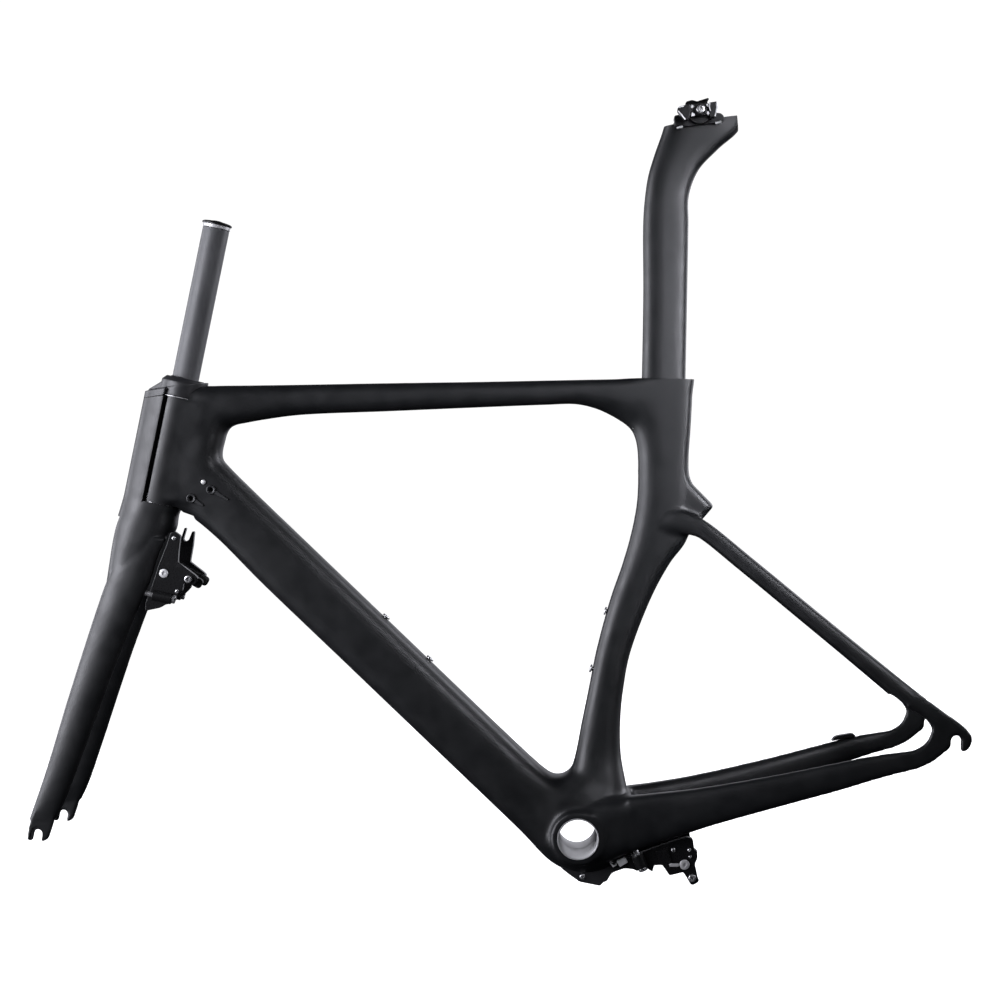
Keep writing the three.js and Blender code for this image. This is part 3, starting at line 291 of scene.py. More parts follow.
def inset(outline, distance):
    """A closed outline moved inward by a small distance."""
    ahead = np.roll(outline, -1, axis=0) - outline
    keep = np.linalg.norm(ahead, axis=1) > 1e-6
    outline = outline[keep]
    ahead = np.roll(outline, -1, axis=0) - outline
    ahead /= np.linalg.norm(ahead, axis=1)[:, None]
    normals = np.column_stack([-ahead[:, 1], ahead[:, 0]])
    x, y = outline[:, 0], outline[:, 1]
    if np.dot(x, np.roll(y, -1)) - np.dot(y, np.roll(x, -1)) < 0:
        normals = -normals
    joint = normals + np.roll(normals, 1, axis=0)
    joint /= np.maximum(np.linalg.norm(joint, axis=1), 1e-6)[:, None]
    mitre = 1 / np.clip((joint * normals).sum(axis=1), 0.6, 1)
    return outline + joint * (distance * mitre)[:, None]


def slab(outline, low, high, edge=0.0, matrix=ACROSS):
    """An outline thickened between two depths, its long edges rounded over."""
    outline = np.asarray([p[:2] for p in outline], dtype=float)
    steps = 3 if edge else 0
    angles = [math.pi / 2 * step / steps for step in range(steps + 1)] if edge else [math.pi / 2]
    layers = [(edge * (1 - math.sin(a)), low + edge * (1 - math.cos(a))) for a in angles]
    layers += [(edge * (1 - math.sin(a)), high - edge * (1 - math.cos(a))) for a in reversed(angles)]
    flats = [(inset(outline, distance), depth) for distance, depth in layers]
    rings = [np.column_stack([flat, np.full(len(flat), depth)]) for flat, depth in flats]
    sides = len(rings[0])
    faces = ring_faces(len(rings), sides, False)
    faces.append(tuple(range(sides)))
    faces.append(tuple(range((len(rings) - 1) * sides, len(rings) * sides)))
    return new_object(np.vstack(rings), faces, matrix)


def block(behind_low, behind_high, station_low, station_high, y_low=-60, y_high=60):
    """A block square to the steering axis, across the whole width unless told otherwise."""
    outline = [(behind_low, y_low), (behind_high, y_low), (behind_high, y_high), (behind_low, y_high)]
    return slab(outline, station_low, station_high, 0, STEERING)


def box(x_low, x_high, y_low, y_high, z_low, z_high, matrix=None):
    corners = [(x_low, z_low), (x_high, z_low), (x_high, z_high), (x_low, z_high)]
    return slab(corners, y_low, y_high, 0, ACROSS if matrix is None else matrix @ ACROSS)


# -------- lofted tubes
def spline(points, steps, closed):
    """Centripetal Catmull-Rom points, the same curve as the CAD's."""
    points = np.asarray(points, dtype=float)
    count = len(points)
    result = []
    for span in range(count if closed else count - 1):
        p1, p2 = points[span], points[(span + 1) % count]
        p0 = points[span - 1] if closed or span else 2 * p1 - p2
        p3 = points[(span + 2) % count] if closed or span + 2 < count else 2 * p2 - p1
        d0, d1, d2 = (np.linalg.norm(b - a) ** 0.5 for a, b in ((p0, p1), (p1, p2), (p2, p3)))
        d1 = d1 if d1 > 1e-4 else 1.0
        d0 = d0 if d0 > 1e-4 else d1
        d2 = d2 if d2 > 1e-4 else d1
        m1 = ((p1 - p0) / d0 - (p2 - p0) / (d0 + d1) + (p2 - p1) / d1) * d1
        m2 = ((p2 - p1) / d1 - (p3 - p1) / (d1 + d2) + (p3 - p2) / d2) * d1
        for step in range(steps):
            t = step / steps
            result.append(
                (2 * t**3 - 3 * t**2 + 1) * p1 + (t**3 - 2 * t**2 + t) * m1
                + (3 * t**2 - 2 * t**3) * p2 + (t**3 - t**2) * m2
            )
    if not closed:
        result.append(points[-1])
    return np.array(result)


def full_station(station):
    return tuple(station) if len(station) == 8 else (*station, station[6])


def section(a, b, width, angle, taper=0.0):
    """A point on a section from edge a to edge b, with its own squareness at each end.

    It narrows towards b by the taper.
    """
    centre, reach = (a + b) / 2, (b - a) / 2
    y, half, front_power, rear_power = width
    power = front_power if math.cos(angle) < 0 else rear_power
    chord = math.copysign(abs(math.cos(angle)) ** (2 / power), math.cos(angle))
    across = math.copysign(abs(math.sin(angle)) ** (2 / power), math.sin(angle))
    half *= 1 - taper * (1 + chord) / 2
    return centre[0] + reach[0] * chord, y + half * across, centre[1] + reach[1] * chord


def loft(stations, sides=56, steps=10, closed=False, taper=0.0):
    """Stations are x, z of one edge, x, z of the other, y of the centre, half width and squareness.

    An eighth number is the second edge's own squareness.
    """
    stations = np.asarray([full_station(station) for station in stations], dtype=float)
    edges_a, edges_b, widths = (
        spline(stations[:, columns], steps, closed) for columns in (slice(0, 2), slice(2, 4), slice(4, 8))
    )
    vertices = [
        section(a, b, width, 2 * math.pi * side / sides, taper)
        for a, b, width in zip(edges_a, edges_b, widths)
        for side in range(sides)
    ]
    faces = ring_faces(len(edges_a), sides, closed)
    if not closed:
        faces.append(tuple(range(sides)))
        faces.append(tuple(range(len(vertices) - sides, len(vertices))))
    return new_object(vertices, faces)


# -------- materials
class Look:
    """A principled material whose nodes are added one call at a time."""

    def __init__(self, name, **fixed):
        self.material = bpy.data.materials.new(name)
        self.material.use_nodes = True
        self.nodes = self.material.node_tree.nodes
        self.links = self.material.node_tree.links
        self.shader = self.nodes["Principled BSDF"]
        for key, value in fixed.items():
            self.shader.inputs[key.replace("_", " ")].default_value = value
        self.place = self.nodes.new("ShaderNodeTexCoord").outputs["Object"]

    def add(self, kind, output=0, settings=None, **inputs):
        node = self.nodes.new("ShaderNode" + kind)
        for key, value in (settings or {}).items():
            setattr(node, key, value)
        for key, value in inputs.items():
            socket = node.inputs[int(key[1:])] if key[0] == "i" and key[1:].isdigit() else node.inputs[key]
            if isinstance(value, bpy.types.NodeSocket):
                self.links.new(value, socket)
            else:
                socket.default_value = value
        return node.outputs[output]

    def stretched(self, x, y, z):
        return self.add("Mapping", Vector=self.place, Scale=(x, y, z))

    def noise(self, scale, detail=2.0, vector=None):
        return self.add("TexNoise", Vector=vector or self.place, Scale=scale, Detail=detail)

    def spread(self, value, low, high, from_low=0.3, from_high=0.7):
        node = {"From Min": from_low, "From Max": from_high, "To Min": low, "To Max": high}
        return self.add("MapRange", Value=value, **node)

    def tint(self, value, dark, light):
        return self.add("Mix", 2, {"data_type": "RGBA"}, Factor=value, i6=(*dark, 1), i7=(*light, 1))

    def set(self, socket, value):
        self.links.new(value, self.shader.inputs[socket])

    def paint(self, value, dark, light):
        self.set("Base Color", self.tint(value, dark, light))

    def finish(self, roughness, height=None, strength=0.0, distance=0.0):
        """Links the roughness and, where there is a height, the relief."""
        self.set("Roughness", roughness)
        if height:
            self.set("Normal", self.add("Bump", Strength=strength, Distance=distance, Height=height))
        return self.material


def matte_carbon():
    look = Look("matte_carbon_paint", Specular_IOR_Level=0.5, Coat_Weight=0.12, Coat_Roughness=0.32)
    cloud = look.spread(look.noise(9.0, 3.0), 0.0, 1.0)
    look.paint(cloud, (0.0036, 0.0041, 0.0047), (0.0062, 0.0068, 0.0077))
    return look.finish(look.spread(look.noise(55.0, 4.0), 0.40, 0.52), look.noise(1500.0, 2.0), 0.10, 0.0002)


def raw_carbon():
    look = Look("raw_carbon_tube", Specular_IOR_Level=0.5, Coat_Weight=0.1, Coat_Roughness=0.3)
    streaks = look.noise(30.0, 5.0, look.stretched(2.0, 2.0, 0.7))
    fibres = look.noise(420.0, 3.0, look.stretched(1.0, 1.0, 0.12))
    blend = look.add("Math", 0, {"operation": "MULTIPLY_ADD"}, i0=fibres, i1=0.3, i2=streaks)
    look.paint(look.spread(blend, 0.0, 1.0, 0.45, 0.85), (0.060, 0.061, 0.064), (0.100, 0.102, 0.105))
    return look.finish(look.spread(streaks, 0.42, 0.62), fibres, 0.15, 0.0002)


def black_anodised(name, roughness, tone):
    look = Look(name, Metallic=0.35, Specular_IOR_Level=0.6)
    grain = look.noise(900.0, 3.0)
    rub = look.spread(look.noise(70.0, 5.0), 0.0, 1.0, 0.55, 0.8)
    look.paint(rub, (tone, tone, tone * 1.06), (tone * 2.2, tone * 2.2, tone * 2.3))
    return look.finish(look.spread(grain, roughness - 0.05, roughness + 0.07), grain, 0.08, 0.0001)


def silver(name, roughness, tone, metal):
    look = Look(name, Metallic=metal, Anisotropic=0.4)
    lines = look.noise(240.0, 3.0, look.stretched(1.0, 14.0, 1.0))
    look.paint(look.spread(lines, 0.0, 1.0), (tone * 0.82,) * 3, (tone,) * 3)
    return look.finish(look.spread(lines, roughness - 0.06, roughness + 0.08), lines, 0.06, 0.0001)


def pad_rubber():
    look = Look("brake_rubber", Specular_IOR_Level=0.3)
    dust = look.spread(look.noise(120.0, 5.0), 0.0, 1.0, 0.5, 0.8)
    look.paint(dust, (0.008, 0.008, 0.008), (0.028, 0.027, 0.026))
    return look.finish(look.spread(dust, 0.72, 0.9, 0.0, 1.0), look.noise(2200.0, 3.0), 0.3, 0.0002)


def satin_plastic():
    look = Look("satin_moulding", Specular_IOR_Level=0.5)
    speckle = look.add("TexVoronoi", Vector=look.place, Scale=2600.0)
    shade = look.spread(look.noise(25.0), 0.0, 1.0)
    look.paint(shade, (0.018, 0.0185, 0.020), (0.026, 0.0265, 0.028))
    return look.finish(look.spread(look.noise(90.0, 3.0), 0.36, 0.48), speckle, 0.10, 0.00015)


def white_print():
    look = Look("white_print", Specular_IOR_Level=0.4)
    worn = look.spread(look.noise(700.0, 4.0), 0.0, 1.0, 0.35, 0.6)
    look.paint(worn, (0.55,) * 3, (0.82,) * 3)
    return look.finish(look.spread(worn, 0.4, 0.6, 0.0, 1.0))


# Each finish is a material and the name of a slot.
CARBON = matte_carbon(), "carbon"
RAW_CARBON = raw_carbon(), "raw_carbon"
BRAKE_BLACK = black_anodised("brake_anodising", 0.3, 0.012), "black_alloy"
CLAMP_BLACK = black_anodised("clamp_anodising", 0.34, 0.011), "black_alloy"
BRAKE_STEEL, CLAMP_STEEL = (BRAKE_BLACK[0], "steel"), (CLAMP_BLACK[0], "steel")
STEEL = silver("polished_steel", 0.24, 0.72, 0.8), "steel"
ALLOY = silver("turned_alloy", 0.36, 0.62, 0.25), "alloy"
BRIGHT = silver("bright_nickel", 0.34, 0.88, 0.45), "steel"
BRIGHT_ALLOY = BRIGHT[0], "alloy"
RUBBER = pad_rubber(), "rubber"
PLASTIC = satin_plastic(), "plastic"
PRINT = white_print(), "plastic"


# -------- finishing a piece
def piece(name, obj, body, finish, *nodes, crease=38, skin=False):
    """Brings a finished mesh to metres, shades it and hands it to the frame.

    A skin keeps the plain smooth normals, which suit its even mesh.
    """
    look, slot = finish
    obj.name = name
    obj.data.name = name
    obj.data.transform(Matrix.Scale(TO_METRES, 4))
    obj.data.materials.clear()
    obj.data.materials.append(look)
    obj.data.shade_smooth()
    obj.data.set_sharp_from_angle(angle=math.radians(crease))
    if not skin:
        weighted = obj.modifiers.new("weighted", "WEIGHTED_NORMAL")
        weighted.keep_sharp = True
        settle(obj)
    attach(obj, body)
    if nodes:
        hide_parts(*nodes)
    return obj


def pair(stem, obj, bodies, finish, node_stem):
    """A left piece and its mirror image."""
    twin = mirrored(obj)
    for side, half, body in (("left", obj, bodies[0]), ("right", twin, bodies[1])):
        piece(f"{stem}_{side}", half, body, finish, f"{node_stem}_{side}")


def socket_screw(start, direction, head_radius, head_height, shank_radius, shank_length, key=2.0, dome=0.3):
    """A screw with a rounded head and a hexagonal socket. It starts at the underside of its head."""
    sides = 48
    top = head_height + dome
    profile = [
        (0, -shank_length), (shank_radius * 0.8, -shank_length), (shank_radius, -shank_length + 0.5),
        (shank_radius, 0), (head_radius - 0.15, 0), (head_radius, 0.2), (head_radius, head_height - 0.6),
        (head_radius - 0.2, head_height - 0.2), (head_radius - 0.6, head_height), (key * 1.3, top),
    ]
    rings = [ring_of(point, sides) for point in profile]
    for height, grow in ((top, 1.08), (top - 0.15, 1.0), (top - min(1.8, head_height * 0.7), 1.0)):
        hexagon = []
        for side in range(sides):
            turn = (2 * math.pi * side / sides + math.pi / 6) % (math.pi / 3) - math.pi / 6
            hexagon.append((key * grow / math.cos(turn), height))
        rings.append(hexagon)
    rings.append([(0, rings[-1][0][1])])
    return revolve(rings, sides, False, along(start, direction))


def screw(name, body, node, *shape, finish=STEEL):
    """A socket screw as a finished piece. It replaces a node, or nothing if the node is None."""
    piece(name, socket_screw(*shape), body, finish, *([node] if node else []))


# -------- frame shell
MAIN_RING = [
    (-250, 477.5, -252, 510.5, 0, 17, 2.6), (-150, 471, -150, 501.3, 0, 16, 2.6),
    (-50, 464.5, -50, 492, 0, 15, 2.6), (15, 460, 22, 485.7, 0, 14.5, 2.6),
    (48, 457, 64, 482, 0, 15, 2.4, 3.0), (70, 449, 100, 479, 0, 16, 2.3, 4.0),
    (88, 437.5, 140, 479, 0, 16.5, 2.2, 6.0), (98, 429, 174, 479, 0, 16.5, 2.2, 7.0),
    (104, 421, 171, 452, 0, 16.5, 2.2, 7.0), (107, 406, 166, 420, 0, 16.5, 2.2, 7.0),
    (105, 375, 160, 384, 0, 16.5, 2.2, 6.0), (100.5, 345, 158, 350, 0, 17, 2.2, 5.0),
    (90.5, 312, 151, 303, 0, 16.5, 2.2, 3.6), (77.5, 280, 129, 277, 0, 15.5, 2.2, 3.0),
    (62, 247, 107, 245, 0, 15, 2.2, 2.8), (41, 193, 77, 186, 0, 15, 2.2, 2.8),
    (28.5, 153, 66, 150, 0, 15.5, 2.2, 2.7), (17, 117, 59, 116, 0, 16.5, 2.2, 2.6),
    (7, 84, 55.5, 78, 0, 19, 2.5), (1, 70, 58, 40, 0, 25, 2.6),
    (-5, 65, 58, 0, 0, 32, 3), (-12, 63, 40, -36, 0, 36, 3),
    (-20, 64.5, 5, -45, 0, 36, 3), (-28, 71, -27, -32, 0, 33, 3),
    (-40, 84, -64, 12, 0, 29, 3), (-100, 154.5, -149.5, 113, 0, 24, 3),
    (-180, 249.5, -229.5, 208, 0, 23, 3), (-260, 344.5, -309.5, 303, 0, 23.5, 3),
    (-310, 404, -352, 356, 0, 24, 3), (-331, 430, -378, 382, 0, 24.5, 3),
    (-337, 439, -400, 396, 0, 25, 3), (-337, 446, -404, 422, 0, 25, 3),
    (-333, 458, -397, 452, 0, 25, 3), (-328, 469, -387, 487, 0, 24, 3),
    (-322, 473.5, -374, 520, 0, 23.5, 3), (-308, 475.3, -338, 518.5, 0, 22, 3),
    (-285, 476.8, -298, 514.8, 0, 19, 2.8),
]
BB_BLOCK = [
    (-31, 10, -31, -12, 0, 35, 3), (-22, 25, -22, -27, 0, 40, 3.6), (0, 33, 2, -33, 0, 41.7, 4.4),
    (30, 37, 30, -31, 0, 42.4, 4.8), (62, 38, 62, -21, 0, 42.8, 5),
]
SEATSTAY = [
    (117, 321, 116, 317, -12.5, 3, 2.2), (129, 330.5, 126, 312.5, -14, 4.5, 2.2),
    (142, 333.5, 138, 310.5, -16, 5.6, 2.2), (155, 328, 149.5, 307, -18.5, 5.9, 2.2),
    (168, 321, 161.5, 302, -21.5, 5.6, 2.3), (218, 271.5, 206, 259, -33.5, 5.5, 2.4),
    (275, 213, 263, 201, -47, 5.4, 2.4), (322, 165.5, 310, 153, -58.5, 5.2, 2.4),
    (369.6, 118, 354.8, 106.4, -68.5, 3.8, 2.6), (374, 114, 359, 102, -68.5, 3.6, 3),
]
CHAINSTAY = [
    (56, 38, 56, -21, -29.5, 13.4, 4.5), (92, 38.5, 92, -13, -33, 12, 3.5),
    (135, 40.5, 137, -1.5, -39.5, 10.5, 3), (214, 48, 217, 14.8, -51, 8.5, 2.8),
    (274, 55.5, 279, 27, -60, 7, 2.8), (310, 60, 317, 35.4, -65, 5.8, 2.8),
    (350, 62.5, 352, 41.4, -68.5, 3.6, 3), (356, 63, 358, 42.6, -68.5, 3.6, 3),
]
FAIRING = [(120, 372), (157, 378), (161, 360), (182, 333.5), (168, 320.5), (150, 304), (120, 316)]

DOWN_TUBE_UP, SEAT_TUBE_FORWARD = (0.765, 0, 0.644), (-0.939, 0, 0.345)
BOTTLE_BOLTS = {
    "bottle_bolt_downtube_upper": ((-181, 0, 251), DOWN_TUBE_UP),
    "bottle_bolt_downtube_lower": ((-139, 0, 201.2), DOWN_TUBE_UP),
    "bottle_bolt_seattube_upper": ((56.5, 0, 233), SEAT_TUBE_FORWARD),
    "bottle_bolt_seattube_lower": ((34.5, 0, 173), SEAT_TUBE_FORWARD),
}
PORT_WAY = (0.8, -0.6)
PORT_HEADING = math.atan2(PORT_WAY[1], PORT_WAY[0])
CABLE_PORTS = {"cable_port_upper": ((-349, 408), 20), "cable_port_lower": ((-371, 401), 14)}
PORT_SCREW = (-356, 417)


def port_outline(centre, tail, grow):
    x, z = centre
    tip = (x + PORT_WAY[0] * tail, z + PORT_WAY[1] * tail)
    body = arc(centre, 5.0 + grow, PORT_HEADING + 0.5, PORT_HEADING - 0.5 + 2 * math.pi, 20)
    return body + arc(tip, 1.1 + grow, PORT_HEADING - 1.2, PORT_HEADING + 1.2, 8)


def rear_dropout_outline():
    ax, az = REAR_AXLE
    outline = [(340, 62), (340, 41), (352.8, 41.6)]
    outline += curve(outline[-1], (374, 46), (386, 56))
    outline += curve(outline[-1], (394, 59), (394.9, az - 4))
    outline += arc((ax, az), 5, math.pi, 0)
    outline += curve((ax + 4.2, az - 6), (ax + 1, 55), (ax + 5, 54.5))
    outline += curve(outline[-1], (417, 57), (417, 70))
    outline += curve(outline[-1], (415, 78), (402, 89))
    outline += [(366, 121), (352, 108.5)]
    outline += curve(outline[-1], (379.5, 90), (376, 80))
    outline += curve(outline[-1], (371, 64.5), (352.4, 61.6))
    return outline


def dropout_slot(axle, half_width, down, depth):
    """A tool for the crisp axle slot, round at the axle and open along a direction."""
    side = (-down[1], down[0])
    heading = math.atan2(side[1], side[0])
    outline = arc(axle, half_width, heading, heading + math.pi)
    outline += [moved(moved(axle, side, sign * half_width), down, depth) for sign in (-1, 1)]
    return slab(outline, -90, 90)


def lip_recess(side):
    """A shallow round step in the outer face of a front dropout, open along the slot."""
    face = FRONT_HUB_HALF + DROPOUT_THICKNESS
    heading = math.atan2(FORK_SLOT_DOWN[0], -FORK_SLOT_DOWN[1])
    outline = arc(FORK_SLOT_AXLE, 8.2, heading, heading + math.pi, 24)
    outline += [moved(point, FORK_SLOT_DOWN, 14) for point in (outline[-1], outline[0])]
    low, high = sorted((side * (face - 0.9), side * (face + 4)))
    return slab(outline, low, high)


def post_section(z, grow):
    x = POST_AXIS_X + math.tan(POST_LEAN) * z
    half = POST_DEPTH / 2 / math.cos(POST_LEAN) + grow
    slope = math.sin(POST_LEAN) * half
    return x - half, z + slope, x + half, z - slope, 0, POST_HALF_WIDTH + grow, 2.2, 4.0


def rear_pivot(distance, side=-1):
    x, z = REAR_PIVOT
    return x + REAR_PIVOT_UP[0] * distance, side * REAR_PIVOT_Y, z + REAR_PIVOT_UP[1] * distance


LEANED = Matrix.Translation((POST_AXIS_X, 0, 0)) @ Matrix.Rotation(POST_LEAN, 4, "Y")
WEDGE_REAR, WEDGE_TOP, WEDGE_BOTTOM = -POST_DEPTH / 2 - 0.4 - GAP, 458, 430


def head_tools():
    """Everything that is open about the head tube."""
    ahead = cut(block(-80, FLANK_FRONT, 200, 400), axis_cylinder(HEAD_TUBE_RADIUS, 190, 410))
    crown = on_axis([
        (0, HEAD_BOTTOM), (28.5, HEAD_BOTTOM), (31.5, 249.6), (44, 248.4), (44, 215), (0, 215),
    ])
    bore = on_axis([
        (0, 234), (23.3, 234), (23.3, 263.3), (21.5, 263.3), (16.5, 273), (16.5, 351), (19.4, 360.7),
        (21.2, 360.7), (21.2, 409), (0, 409),
    ])
    length = (HEAD_BOTTOM + 0.1, HEAD_TOP - 0.1)
    grooves = [block(-15.6, FLANK_FRONT, *length, *span) for span in ((19.4, 40), (-40, -19.4))]
    pocket = block(-80, COVER_POCKET_START, HEAD_TOP, HEAD_TOP + 60)
    return [pocket, axis_cylinder(COVER_RADIUS + 0.5, HEAD_TOP, 429), ahead, crown, bore, *grooves]


def crisp_seatstay():
    """The seatstay a hair wider in its middle, so that its long faces stay crisp over the soft skin."""
    stations = []
    for index, (*ends, half_width, power) in enumerate(SEATSTAY):
        growth = 0.35 if 3 < index < 8 else -0.6
        stations.append((*ends, half_width + growth, power))
    return loft(stations, 40, 8)


def frame_shell():
    parts = [
        loft(MAIN_RING, 64, 12, closed=True),
        axis_cylinder(HEAD_TUBE_RADIUS, HEAD_BOTTOM - 10, HEAD_TOP + 6),
        loft(BB_BLOCK, 64, 10),
        rod((0, -BB_HALF_WIDTH, 0), (0, BB_HALF_WIDTH, 0), BB_BOSS_RADIUS, ROUND),
        slab(rounded(FAIRING, 1.5), -15.6, 15.6, 5),
        slab([(0, -25.8), (31, -24.4), (31, 24.4), (0, 25.8)], HEAD_BOTTOM + 5, HEAD_TOP - 2, 1, STEERING),
    ]
    dropout = rounded(rear_dropout_outline(), 0.3, 2)
    for stay in (loft(SEATSTAY, 40, 8), loft(CHAINSTAY, 40, 8)):
        parts += [stay, mirrored(stay)]
    plate = slab(dropout, -REAR_HUB_HALF - DROPOUT_THICKNESS, -REAR_HUB_HALF, 0)
    parts += [plate, mirrored(plate)]
    crisp = crisp_seatstay()
    shell = join(melt(gather(parts), SHELL_VOXEL, 10), crisp, mirrored(crisp))

    collar = slab([(62, 482.4), (117.5, 477.5), (180, 469.3), (200, 520), (62, 520)], -40, 40)
    socket = loft([post_section(SOCKET_BOTTOM, 0.4), post_section(ABOVE_TOP_TUBE, 0.4)], 64, 1)
    pocket = box(WEDGE_REAR - 8.3, WEDGE_REAR + 4, -7.3, 7.3, WEDGE_BOTTOM - 6, ABOVE_TOP_TUBE, LEANED)
    x, z = PORT_SCREW
    holes = [
        rod((x, -40, z), (x, PORT_FACE_Y + 7, z), 1.5), rod((x, -40, z), (x, PORT_FACE_Y + 0.1, z), 2.7),
        rod((-2, 0, -70), (-2, 0, -34), 2.3),
        *[rod(rear_pivot(-12, side), rear_pivot(20, side), PIVOT_HOLE) for side in (-1, 1)],
    ]
    holes += [rod(moved(at, out, -10), moved(at, out, 6), 2.8) for at, out in BOTTLE_BOLTS.values()]
    for centre, tail in CABLE_PORTS.values():
        holes.append(slab(port_outline(centre, tail, GAP), PORT_FACE_Y - 6, PORT_FACE_Y + 3.3))
    slot = dropout_slot(REAR_AXLE, 5, (0, -1), 4)
    bb_bore = rod((0, -60, 0), (0, 60, 0), BB_SLEEVE_RADIUS + GAP, ROUND)
    return cut(shell, *head_tools(), bb_bore, collar, socket, pocket, *holes, slot)


piece(
    "frame_shell", frame_shell(), "frame", CARBON, "front_triangle", "seatstay_left", "seatstay_right",
    "chainstay_left", "chainstay_right", "rear_dropout_left", "rear_dropout_right", crease=42, skin=True,
)

# -------- fittings on the frame
half = BB_HALF_WIDTH + 0.4
near_half = [
    (BB_SLEEVE_BORE + 0.4, -8), (BB_SLEEVE_BORE, -9), (BB_SLEEVE_BORE, -half + 0.8),
    (BB_SLEEVE_BORE + 0.7, -half), (BB_SLEEVE_RADIUS - 0.2, -half), (BB_SLEEVE_RADIUS, -half + 0.3),
]
far_half = [(radius, -height) for radius, height in reversed(near_half)]
sleeve = turned([*near_half, *far_half, near_half[0]], along((0, 0, 0), (0, 1, 0)), 128)
piece("bb_sleeve_turned", sleeve, "frame", ALLOY, "bb_sleeve")

cover_outline = rounded([
    (-22, -33), (-14, -41), (-3, -50.5), (18, -57), (22, -53.5), (26, -52.5), (31, -45.5), (35, -43.5),
    (46, -41), (46, -30), (-10, -30),
], 1.6)
cable_cover = slab(cover_outline, -21, 21, 1.4)
cut(cable_cover, rod((-2, 0, -70), (-2, 0, -30), 2.3))
piece("bb_cable_cover_moulded", cable_cover, "frame", PLASTIC, "bb_cable_cover")
screw("bb_cover_screw_domed", "frame", "bb_cover_screw", (-2, 0, -51.6), (0, 0, -1), 3.4, 2.2, 2, 15, 1.5)
screw("bb_cover_side_screw", "frame", None, (0.5, -20.4, -45), (0, -1, 0), 3.0, 1.6, 1.6, 5, 1.3)

stop_outline = rounded([(290, 58.4), (293, 62), (297, 63.6), (313, 64.6), (316, 63), (317, 60.6)], 0.8)
stop = slab(stop_outline, 60, 68, 0.8)
cut(stop, rod((280, 64, 61), (330, 64, 64), 1.3))
piece("cable_stop_bevelled", stop, "frame", BRAKE_BLACK, "derailleur_cable_stop")

for name, (at, out) in BOTTLE_BOLTS.items():
    screw(name + "_domed", "frame", name, moved(at, out, 0.8), out, 4.4, 1.8, 2.5, 9.8, 1.6, 0.2)

for name, (centre, tail) in CABLE_PORTS.items():
    port = slab(port_outline(centre, tail, 0), PORT_FACE_Y - 1, PORT_FACE_Y + 3, 0.5)
    x, z = centre
    inward = along((x, PORT_FACE_Y - 1, z), (0, 1, 0))
    cut(port, turned([(0, -1), (3.4, -1), (2.3, 1.4), (2.2, 12), (0, 12)], inward))
    join(port, turned(
        [(2.7, -1), (4.6, -1), (4.8, 0.6), (4.2, 1.0), (3.3, 0.9), (2.7, 0.4), (2.7, -1)],
        along((x, PORT_FACE_Y - 0.9, z), (0, -1, 0)),
    ))
    piece(name + "_bevelled", port, "frame", PLASTIC, name)
x, z = PORT_SCREW
rivet = turned(
    [(0, -6.6), (1.2, -6.6), (1.2, 0), (2.6, 0), (2.6, 0.5), (2.2, 1.2), (1.2, 1.6), (0, 1.7)],
    along((x, PORT_FACE_Y - 0.2, z), (0, -1, 0)),
)
piece("port_screw_domed", rivet, "frame", BRIGHT, "port_screw")


def bearing(outer, inner, low, high):
    """A cartridge bearing: chamfered race with a seal groove in each face."""
    middle = (outer + inner) / 2
    lower = [
        (inner, low), (middle - 1.2, low), (middle - 1, low + 0.3), (middle + 1, low + 0.3),
        (middle + 1.2, low), (outer - 0.8, low), (outer, low + 0.8),
    ]
    upper = [(radius, low + high - height) for radius, height in reversed(lower)]
    return on_axis([*lower, *upper, lower[0]])


piece("upper_bearing_race", bearing(20.9, 15.3, 361, 368), "frame", STEEL, "upper_bearing")
piece("lower_bearing_race", bearing(23, 17.8, 255, 263), "frame", STEEL, "lower_bearing")

wedge = slab(
    rounded([(WEDGE_REAR - 8, -7), (WEDGE_REAR, -7), (WEDGE_REAR, 7), (WEDGE_REAR - 8, 7)], 1.0),
    WEDGE_BOTTOM, WEDGE_TOP, 0.6, LEANED,
)
screw_low, screw_high, screw_seat = (
    LEANED @ Vector((WEDGE_REAR - 4, 0, z)) for z in (WEDGE_BOTTOM - 2, WEDGE_TOP + 2, WEDGE_TOP + GAP)
)
cut(wedge, rod(screw_low, screw_high, 2.8, ROUND))
piece("seatpost_wedge_block", wedge, "frame", ALLOY, "seatpost_wedge")
wedge_up = LEANED.to_3x3() @ Vector((0, 0, 1))
screw("wedge_screw_domed", "frame", "wedge_screw", screw_seat, wedge_up, 3.6, 3.9, 2.4, 26, 1.6)

rear_down = (-REAR_PIVOT_UP[0], 0, -REAR_PIVOT_UP[1])
rear_pivot_bolt = socket_screw(rear_pivot(-9.4), rear_down, PIVOT_HEAD_RADIUS, 3.3, PIVOT_BOLT_RADIUS, 26, 2)
pair("rear_pivot_bolt", rear_pivot_bolt, ("frame", "frame"), STEEL, "rear_brake_pivot")

